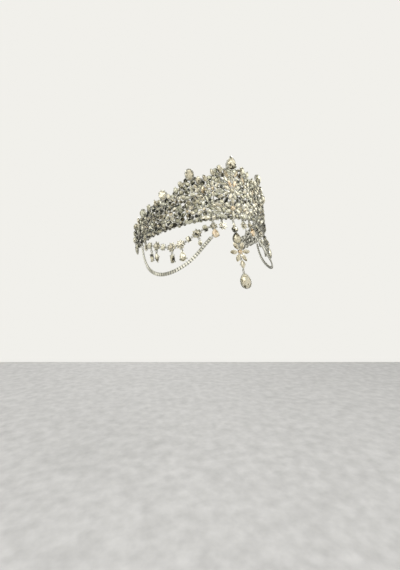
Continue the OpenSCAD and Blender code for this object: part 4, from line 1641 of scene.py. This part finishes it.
@dataclass
class ForeheadDrop:
    """Four hinged pieces that hang in front of the rim's middle."""

    small_round: float = 3.2
    round_width: float = 6.4
    pear: tuple[float, float] = (12.2, 9.4)
    petal: tuple[float, float] = (9.0, 5.0)
    petal_depth: float = 3.5
    heart: float = 5.4
    flower_ear: float = 5.2
    navette: tuple[float, float] = (8.8, 5.4)
    tear: tuple[float, float] = (15.2, 11.8)
    gap: float = 0.4
    rim_grow: float = 0.5

    def build(self) -> None:
        """Builds the four pieces from the top down."""
        top_hole = HANG.ear_z - HANG.ring_pitch
        small_z = top_hole - HANG.ear_reach - self.small_round / 2
        round_z = small_z - (self.small_round + self.round_width) / 2 - self.gap
        pear_z = round_z - (self.round_width + self.pear[0]) / 2 - self.gap
        pear_hole = pear_z - self.pear[0] / 2 - HANG.rim_reach
        flower_z = pear_hole - HANG.ring_pitch - self.flower_ear
        flower_hole = flower_z - self.flower_ear
        link_top = flower_hole - HANG.ring_pitch
        link_z = link_top - HANG.ear_reach - self.navette[0] / 2
        link_hole = link_z - self.navette[0] / 2 - HANG.ear_reach
        tear_top = link_hole - HANG.ring_pitch
        tear_z = tear_top - HANG.rim_reach - self.tear[0] / 2
        self.top(small_z, round_z, pear_z, top_hole, pear_hole)
        self.flower(flower_z)
        self.link(link_z, link_top)
        self.tear_piece(tear_z, tear_top)

    def open_rim(
        self, work: HungWork, z: float, cut: Cut, length: float, width: float, beads: int, bead: float = 1.0
    ) -> Matrix:
        """Adds an open rim with beads over a large stone's edge.

        Args:
            work: Where the metal is gathered.
            z: Height of the stone's middle.
            cut: Outline of the stone.
            length: Its length.
            width: Its width.
            beads: Number of beads round it.
            bead: Width of each.

        Returns:
            Where the stone stands, in millimetres.
        """
        grow = 1 + 2 * self.rim_grow / width
        inside = 1 + 0.3 / width
        back, front = (work.at(0, z, 90, side * HANG.plate / 2) for side in (-1, 1))
        work.metal.add(Bench.rim(cut, inside, grow, HANG.plate / width), back, (length, width, width))
        for i in range(beads):
            x, y = cut.point(math.tau * i / beads)
            spot = Matrix.Translation((x * length * (grow + inside) / 2, y * width * (grow + inside) / 2, 0))
            work.metal.add(Bench.bead(), front @ spot, (bead, bead, bead))
        return work.at(0, z, 90)

    def top(self, small_z: float, round_z: float, pear_z: float, top_hole: float, pear_hole: float) -> None:
        """Makes the small round, round and pear stone on one piece of metal.

        Args:
            small_z: Height of the small round stone's middle.
            round_z: Height of the round stone's.
            pear_z: Height of the pear stone's.
            top_hole: Height of the upper ear's hole.
            pear_hole: Height of the lower ear's.
        """
        body, wide = "drop_top", self.round_width
        work = HungWork(body, 71)
        work.gem(work.at(0, small_z), Cut.ROUND, self.small_round, self.small_round)
        work.ear(work.at(0, small_z), 0, top_hole - small_z)
        work.ear(work.at(0, pear_z), 0, pear_hole - pear_z)
        ball = self.open_rim(work, round_z, Cut.ROUND, wide, wide, 6)
        pear = self.open_rim(work, pear_z, Cut.PEAR, *self.pear, 7)
        work.finish(body, ["drop_top_setting"])
        for node, seed, where, cut, size, warmth in (
            ("drop_round_stone", 72, ball, Cut.ROUND, (wide, wide, wide), 0.2),
            ("drop_pear_stone", 73, pear, Cut.PEAR, (*self.pear, self.pear[1]), 0.25),
        ):
            gem = Cluster(node.replace("stone", "cut"), seed)
            gem.add(Bench.open(cut), where, size, Tone(warmth, 0.3))
            gem.build(MAIN_CRYSTAL, body, [node])

    def flower(self, z: float) -> None:
        """Makes six petals round a champagne middle.

        Args:
            z: Height of the middle.
        """
        body, lift = "drop_flower", HANG.seat
        work = HungWork(body, 74)
        petals = Cluster("drop_flower_petals_cut", 75)
        size = (*self.petal, self.petal_depth)
        close = (self.petal[0] * 0.95, self.petal[1] * 0.92, self.petal_depth)
        reach = self.heart / 2 + 0.35 + self.petal[0] / 2
        for i in range(6):
            where = work.at(0, z, 60 * i, lift) @ Matrix.Translation((reach, 0, 0))
            petals.add(Bench.main(Cut.NAVETTE), where, size, Tone(0.3, shine=0.3))
            work.metal.add(Bench.cup(Cut.NAVETTE, claws=()), where, close)
        where, size = work.at(0, z, 0, lift), (self.heart, self.heart, self.heart)
        work.metal.add(Bench.cup(Cut.ROUND, 16), where, size)
        for up in (1, -1):
            work.ear(work.at(0, z), 0, up * self.flower_ear)
        petals.build(SMALL_CRYSTAL, body, ["drop_flower_petals"])
        heart = Cluster("drop_flower_heart_cut", 76)
        heart.add(Bench.main(Cut.ROUND), where, size, Tone(0.85))
        heart.build(MAIN_CRYSTAL, body, ["drop_flower_heart"], "warm_stone")
        work.metal.build(CUP_SILVER, body, ["drop_flower_setting"])

    def link(self, z: float, top: float) -> None:
        """Makes the narrow stone under the flower.

        Args:
            z: Height of its middle.
            top: Height of its upper ear's hole.
        """
        body, size = "drop_link", (*self.navette, self.navette[1])
        work = HungWork(body, 77)
        where = work.at(0, z, 90, HANG.seat)
        work.metal.add(Bench.cup(Cut.NAVETTE, claws=(90, 270)), where, size)
        for up in (1, -1):
            work.ear(work.at(0, z), 0, up * (top - z))
        gem = Cluster("drop_link_cut", 78)
        gem.add(Bench.main(Cut.NAVETTE), where, size, Tone(0.3, shine=0.15))
        gem.build(MAIN_CRYSTAL, body, ["drop_link_stone"])
        work.metal.build(CUP_SILVER, body, ["drop_link_setting"])

    def tear_piece(self, z: float, top: float) -> None:
        """Makes the large tear at the bottom.

        Args:
            z: Height of its middle.
            top: Height of its ear's hole.
        """
        body, size = "drop_tear", (*self.tear, self.tear[1])
        work = HungWork(body, 79)
        where = self.open_rim(work, z, Cut.EGG, *self.tear, 26, 1.3)
        work.ear(work.at(0, z), 0, top - z)
        work.metal.build(CUP_SILVER, body, ["drop_tear_setting"])
        gem = Cluster("drop_tear_cut", 80)
        gem.add(Bench.open(Cut.EGG), where, size, Tone(0.25, shine=0.3, calm=0.7))
        gem.build(MAIN_CRYSTAL, body, ["drop_tear_stone"])


class SolidFrame:
    """The wires and rings that keep their own solids and only take a finish."""

    nodes = ("crown_frame", "drop_top_ring", "drop_flower_ring", "drop_link_ring", "drop_tear_ring")

    def dress(self, nodes: dict[str, bpy.types.Object]) -> None:
        """Gives them the silver finish."""
        for name in self.nodes:
            mesh = nodes[name].data
            mesh.materials.clear()
            mesh.materials.append(SILVER.material())
            log.info("%s keeps its solid", name)


@dataclass(frozen=True)
class Lamp:
    """One soft lamp."""

    name: str
    place: Spot
    size: float
    power: float


@dataclass
class Studio:
    """Pale floor, soft lamps, surroundings that sparkle in the facets, and the camera."""

    floor_drop: float = 0.25
    floor_end: float = 1.104
    lens: float = 21.47
    camera_place: Spot = (-0.19655, -0.36492, -0.12954)
    camera_turn: Spot = (100.911, 10.059, -24.922)
    lamps: tuple[Lamp, ...] = (
        Lamp("key_lamp", (0.45, -0.85, 0.6), 0.62, 4.6),
        Lamp("fill_lamp", (-0.8, -0.5, 0.5), 0.7, 3.2),
        Lamp("back_lamp", (0.2, 0.9, 0.7), 0.7, 2.5),
    )
    backdrop: Colour = (0.88, 0.87, 0.83)
    panels: tuple[tuple[float, Colour], ...] = (
        (0.0, (0.02, 0.02, 0.02)),
        (0.46, (0.06, 0.06, 0.06)),
        (0.52, (0.5, 0.5, 0.49)),
        (0.64, (2.1, 2.1, 2.05)),
    )

    def build(self) -> None:
        """Builds the studio."""
        self.floor()
        self.surroundings()
        for lamp in self.lamps:
            self.lamp(lamp)
        self.camera()
        bpy.context.scene.view_settings.view_transform = "Standard"

    @property
    def view(self) -> Matrix:
        """Matrix of the camera."""
        turn = Euler([math.radians(a) for a in self.camera_turn])
        return Matrix.Translation(self.camera_place) @ turn.to_matrix().to_4x4()

    def floor(self) -> None:
        """Lays the floor level to the camera, as far as the backdrop."""
        deselect()
        bpy.ops.mesh.primitive_plane_add(size=1)
        floor = bpy.context.object
        floor.name = "floor"
        floor.matrix_world = (
            self.view
            @ Matrix.Translation((0, -self.floor_drop, 1 - self.floor_end))
            @ Matrix.Rotation(-math.pi / 2, 4, "X")
            @ Matrix.Diagonal((4, 2, 1, 1))
        )
        bpy.ops.object.transform_apply(location=True, rotation=True, scale=True)
        floor.data.materials.append(PaleFloor("pale_floor").material())

    def surroundings(self) -> None:
        """Paints the backdrop, and the bright and dark panels that light and mirror in the stones."""
        world = bpy.data.worlds.new("studio")
        bpy.context.scene.world = world
        world.use_nodes = True
        graph = Graph(world.node_tree)
        panels = graph.ramp(graph.noise(3.2, 1.0, "Generated"), self.panels)
        seen = graph.node("LightPath").outputs["Is Camera Ray"]
        colour = graph.mix(seen, panels, self.backdrop)
        light = graph.node("Background", {"Color": colour, "Strength": 1.0})
        graph.node("OutputWorld", {"Surface": light.outputs[0]})

    def lamp(self, lamp: Lamp) -> None:
        """Hangs one lamp, aimed at the crown."""
        data = bpy.data.lights.new(lamp.name, "AREA")
        data.size = lamp.size
        data.energy = lamp.power
        obj = placed(bpy.data.objects.new(lamp.name, data))
        obj.location = lamp.place
        obj.rotation_euler = (-Vector(lamp.place)).to_track_quat("-Z", "Y").to_euler()

    def camera(self) -> None:
        """Sets the camera where the photograph was taken."""
        data = bpy.data.cameras.new("camera")
        data.lens = self.lens
        data.sensor_width = 36.0
        data.clip_start = 0.01
        obj = placed(bpy.data.objects.new("camera", data))
        obj.matrix_world = self.view
        bpy.context.scene.camera = obj


def main() -> None:
    """Builds the crown's pieces in order, then the studio."""
    logging.basicConfig(level=logging.INFO, format="%(message)s")
    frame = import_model()
    SolidFrame().dress(frame["nodes"])
    CrownWall().build()
    for seed, (name, side) in enumerate(SIDES.items(), 50):
        SideStrand().build(name, side, seed)
        CupChain().build(name, side, seed + 4)
        StarDrop().build(name, side, seed + 8)
    ForeheadDrop().build()
    Studio().build()
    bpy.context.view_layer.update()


if __name__ == "__main__":
    main()
